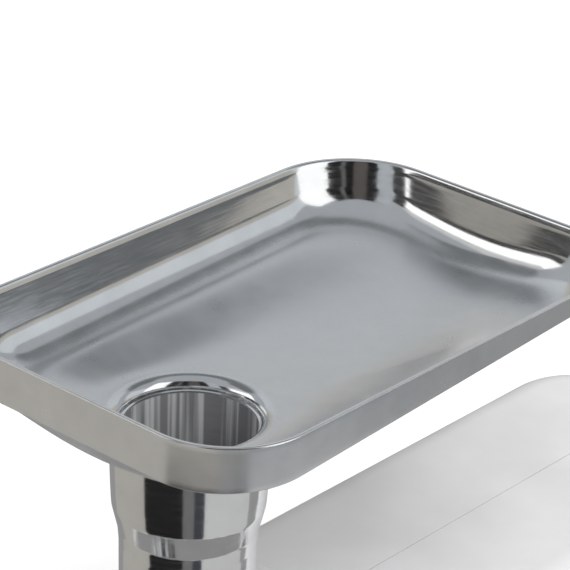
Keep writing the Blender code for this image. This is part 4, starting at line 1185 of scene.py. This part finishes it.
def add_screw(name, node, axis, origin, profile):
    """A screw with a cross cut into its head, which is at the profile's end."""
    size, width, depth = 1.9 * MM, 0.75 * MM, 1.1 * MM
    screw = turned(name, profile, axis, origin, SMALL_ROUND)
    index = "XYZ".index(axis)
    others = [i for i in range(3) if i != index]
    place = list(origin)
    place[index] = profile[-1][1] * MM
    arms = []
    for turn in range(2):
        reach = [0.0, 0.0, 0.0]
        reach[others[turn]] = size
        reach[others[1 - turn]] = width / 2
        low = [place[i] - reach[i] for i in range(3)]
        high = [place[i] + reach[i] for i in range(3)]
        low[index] -= 1 * MM
        high[index] += depth
        bm = bmesh.new()
        add_box(bm, low, high)
        arms.append(to_object("cross_arm", bm))
    show(boolean(screw, *arms), node)


def make_feet():
    foot = (
        (9.4, 12.7, 0.3), (9.4, 11.6, 0.2), (11.8, 11.6, 0.7), (11.4, 7.2, 0.3),
        (10.9, 6.8, 0.3), (10.9, 6.2, 0.3), (11.2, 5.8, 0.3), (10.6, 0.6, 0.4),
        (10.3, 0, 0.5), (8.6, 0, 0.2), (8.4, 0.6, 0.2), (7.8, 0.6, 0.2), (7.6, 0, 0.2),
        (5.5, 0, 0.4), (5.5, 6.5, 0.3), (2.1, 6.5, 0.2), (2.1, 12.7, 0.2),
    )
    screw = (
        (0, 26), (1.6, 26, 0.3), (1.6, 6.2, 0.2), (4.4, 6.2, 0.4), (4.4, 4.3, 0.8),
        (3.2, 3.3, 0.8), (0, 3.2),
    )
    for node in NODES:
        place = middle(node)
        origin = (place.x, place.y, 0)
        if node.startswith("foot_screw_"):
            add_screw("base_" + node, node, "Z", origin, screw)
        elif node.startswith("foot_"):
            show(turned("rubber_" + node, foot, "Z", origin, 64), node)


def make_housing_screws():
    front = HOUSING_FRONT / MM - 0.3
    cover = (
        (0, front + 11), (1.5, front + 11, 0.3), (1.5, front, 0.1), (3.4, front, 0.2),
        (3.2, front - 1.1, 0.6), (2.3, front - 1.85, 0.8), (0, front - 2),
    )
    shell = (
        (0, 11), (1.6, 11, 0.3), (1.6, -8.3, 0.1), (3.8, -8.3, 0.3), (3.8, -10.2, 0.7),
        (2.6, -10.9, 0.7), (0, -11),
    )
    for node in NODES:
        if node.startswith("cover_screw_"):
            place = middle(node)
            add_screw("front_" + node, node, "Y", (place.x, 0, place.z), cover)
    for node in ("shell_screw_low", "shell_screw_high"):
        place = middle(node)
        add_screw("side_" + node, node, "X", (0, place.y, place.z), shell)


def make_head_socket():
    flange = HOUSING_FRONT / MM - 0.3
    socket = turned(
        "neck_socket",
        [
            (30, -35.4, 0.3), (30, flange, 0.2), (37, flange, 0.4), (37, -47.3, 1.2),
            (31.2, -48.8, 2.5), (30, -68, 1.2), (27, -70, 1.2), (22.6, -70, 0.5),
            (22.6, -48, 0.3), (14, -48, 0.4), (14, -35.4, 0.3),
        ],
        "Y",
        (0, 0, BARREL_Z), ROUND,
    )
    boolean(socket, cylinder("lock_hole", "X", (0, LOCK_Y, BARREL_Z), 3.4, -34, -20, 32))
    return socket


def make_lock_knob():
    """A clamp screw with a five-lobed grip and a small crown on its end."""
    low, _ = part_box("lock_knob")
    origin = Vector((0, LOCK_Y, BARREL_Z))
    end = low.x / MM
    stem = turned(
        "lock_grip_stem",
        [(0, -22.6), (3, -22.6, 0.5), (3, -33, 0.2), (6, -33, 0.8), (6, end + 10), (0, end + 10)],
        "X",
        origin, 48,
    )
    profile = rounded(
        (
            (0, end + 15), (9.8, end + 15, 0.5), (12, end + 13.2, 1.6), (12, end + 2.4, 1.6),
            (10.2, end + 0.2, 1.4), (6.5, end, 0.5), (6.0, end + 0.8, 0.5), (0, end + 0.8),
        ),
        False, 5,
    )[1:-1]
    rings = []
    around = 150
    for radius, along in profile:
        ring = []
        for i in range(around):
            turn = 2 * math.pi * i / around
            share = max(0, (radius - 6.5) / 5.5)
            out = radius + 1.6 * share * math.cos(5 * turn)
            ring.append(Vector(on_axis("X", out * MM, turn, along * MM)) + origin)
        rings.append(ring)
    return boolean(stem, skin("grip", rings), operation="UNION")


def make_cord_gland():
    """The mains inlet's bush: a collar round an empty hole."""
    place = middle("cord_gland")
    rear = HOUSING_REAR / MM
    return turned(
        "inlet_gland",
        [
            (7, rear + 3.5, 0.5), (8.6, rear + 2.6, 0.6), (9, rear + 1.4, 0.5),
            (9, rear + 0.3, 0.2), (6, rear + 0.3, 0.2), (6, rear - 6, 0.3), (4, rear - 7, 0.4),
            (4, rear + 2.6, 0.5), (5, rear + 3.5, 0.4),
        ],
        "Y",
        (place.x, 0, place.z), 64,
    )


def make_switch():
    """A bezel with rounded corners, and a rocker with a hollow face."""
    place = middle("switch_bezel")
    side = HALF_WIDTH / MM
    sections = rounded(
        ((0.3, 0), (1.8, 0, 0.4), (2.6, 1.0, 0.5), (2.6, 3.6, 0.5), (0.3, 4.5)), False, 3
    )
    rings = []
    for out, inset in sections:
        reach = 18.5 - inset, 13.5 - inset
        outline = rounded_outline(
            -reach[0] * MM, reach[0] * MM, -reach[1] * MM, reach[1] * MM, 2 * MM, 2 * MM, steps=6
        )
        rings.append([((side + out) * MM, place.y + y, place.z + z) for y, z in outline])
    show(skin("switch_frame", rings, ring_shaped=True), "switch_bezel")

    pivot = Vector((HALF_WIDTH - 6 * MM, place.y))
    drum = 13 * MM
    outline = []
    for step in range(25):
        outline.append(polar(drum, math.radians(54 + 252 * step / 24)))
    for step in range(1, 16):
        along = -1 + 2 * step / 16
        outline.append(((5.9 + 1.74 * along * along) * MM, 10.5 * along * MM))
    height = 8.4 * MM
    rocker = flat_plate(
        "rocker_key", [outline], place.z - height, place.z + height, 0.4 * MM, False, pivot
    )
    show(rocker, "switch_rocker")


def make_outer_pieces():
    pieces = {
        "tray": make_tray,
        "head_casting": make_head_casting,
        "ring_nut": make_ring_nut,
        "grinding_plate": make_grinding_plate,
        "knife": make_knife,
        "auger": make_auger,
        "left_shell": lambda: make_shell("housing_left", -1),
        "right_shell": lambda: make_shell("housing_right", 1),
        "front_cover": make_front_cover,
        "base_plate": make_base_plate,
        "head_socket": make_head_socket,
        "lock_knob": make_lock_knob,
        "cord_gland": make_cord_gland,
    }
    for node, make in pieces.items():
        show(make(), node)
    make_switch()
    make_feet()
    make_housing_screws()


# ---------------------------------------------------------------- carried-over nodes


def smoothing_group():
    """A modifier that welds a node's facets and shades it smooth below 32 degrees."""
    group = bpy.data.node_groups.new("smooth_by_angle", "GeometryNodeTree")
    group.interface.new_socket("Geometry", in_out="INPUT", socket_type="NodeSocketGeometry")
    group.interface.new_socket("Geometry", in_out="OUTPUT", socket_type="NodeSocketGeometry")
    nodes, links = group.nodes, group.links
    start, end = nodes.new("NodeGroupInput"), nodes.new("NodeGroupOutput")
    weld = nodes.new("GeometryNodeMergeByDistance")
    weld.inputs["Distance"].default_value = WELD
    faces = nodes.new("GeometryNodeSetShadeSmooth")
    edges = nodes.new("GeometryNodeSetShadeSmooth")
    edges.domain = "EDGE"
    angle = nodes.new("GeometryNodeInputMeshEdgeAngle")
    below = nodes.new("FunctionNodeCompare")
    below.operation = "LESS_THAN"
    below.inputs["B"].default_value = SMOOTH_BELOW
    links.new(start.outputs[0], weld.inputs["Geometry"])
    links.new(weld.outputs["Geometry"], faces.inputs["Geometry"])
    links.new(faces.outputs["Geometry"], edges.inputs["Geometry"])
    links.new(angle.outputs["Unsigned Angle"], below.inputs["A"])
    links.new(below.outputs["Result"], edges.inputs["Shade Smooth"])
    links.new(edges.outputs["Geometry"], end.inputs[0])
    return group


def dress_nodes():
    group = smoothing_group()
    for name, node in NODES.items():
        node.data.materials[0] = FINISH.get(name) or FINISH[SLOT_OF[name]]
        if node.hide_render:
            continue
        modifier = node.modifiers.new("smooth", "NODES")
        modifier.node_group = group


make_camera()
make_stage()
make_outer_pieces()
dress_nodes()
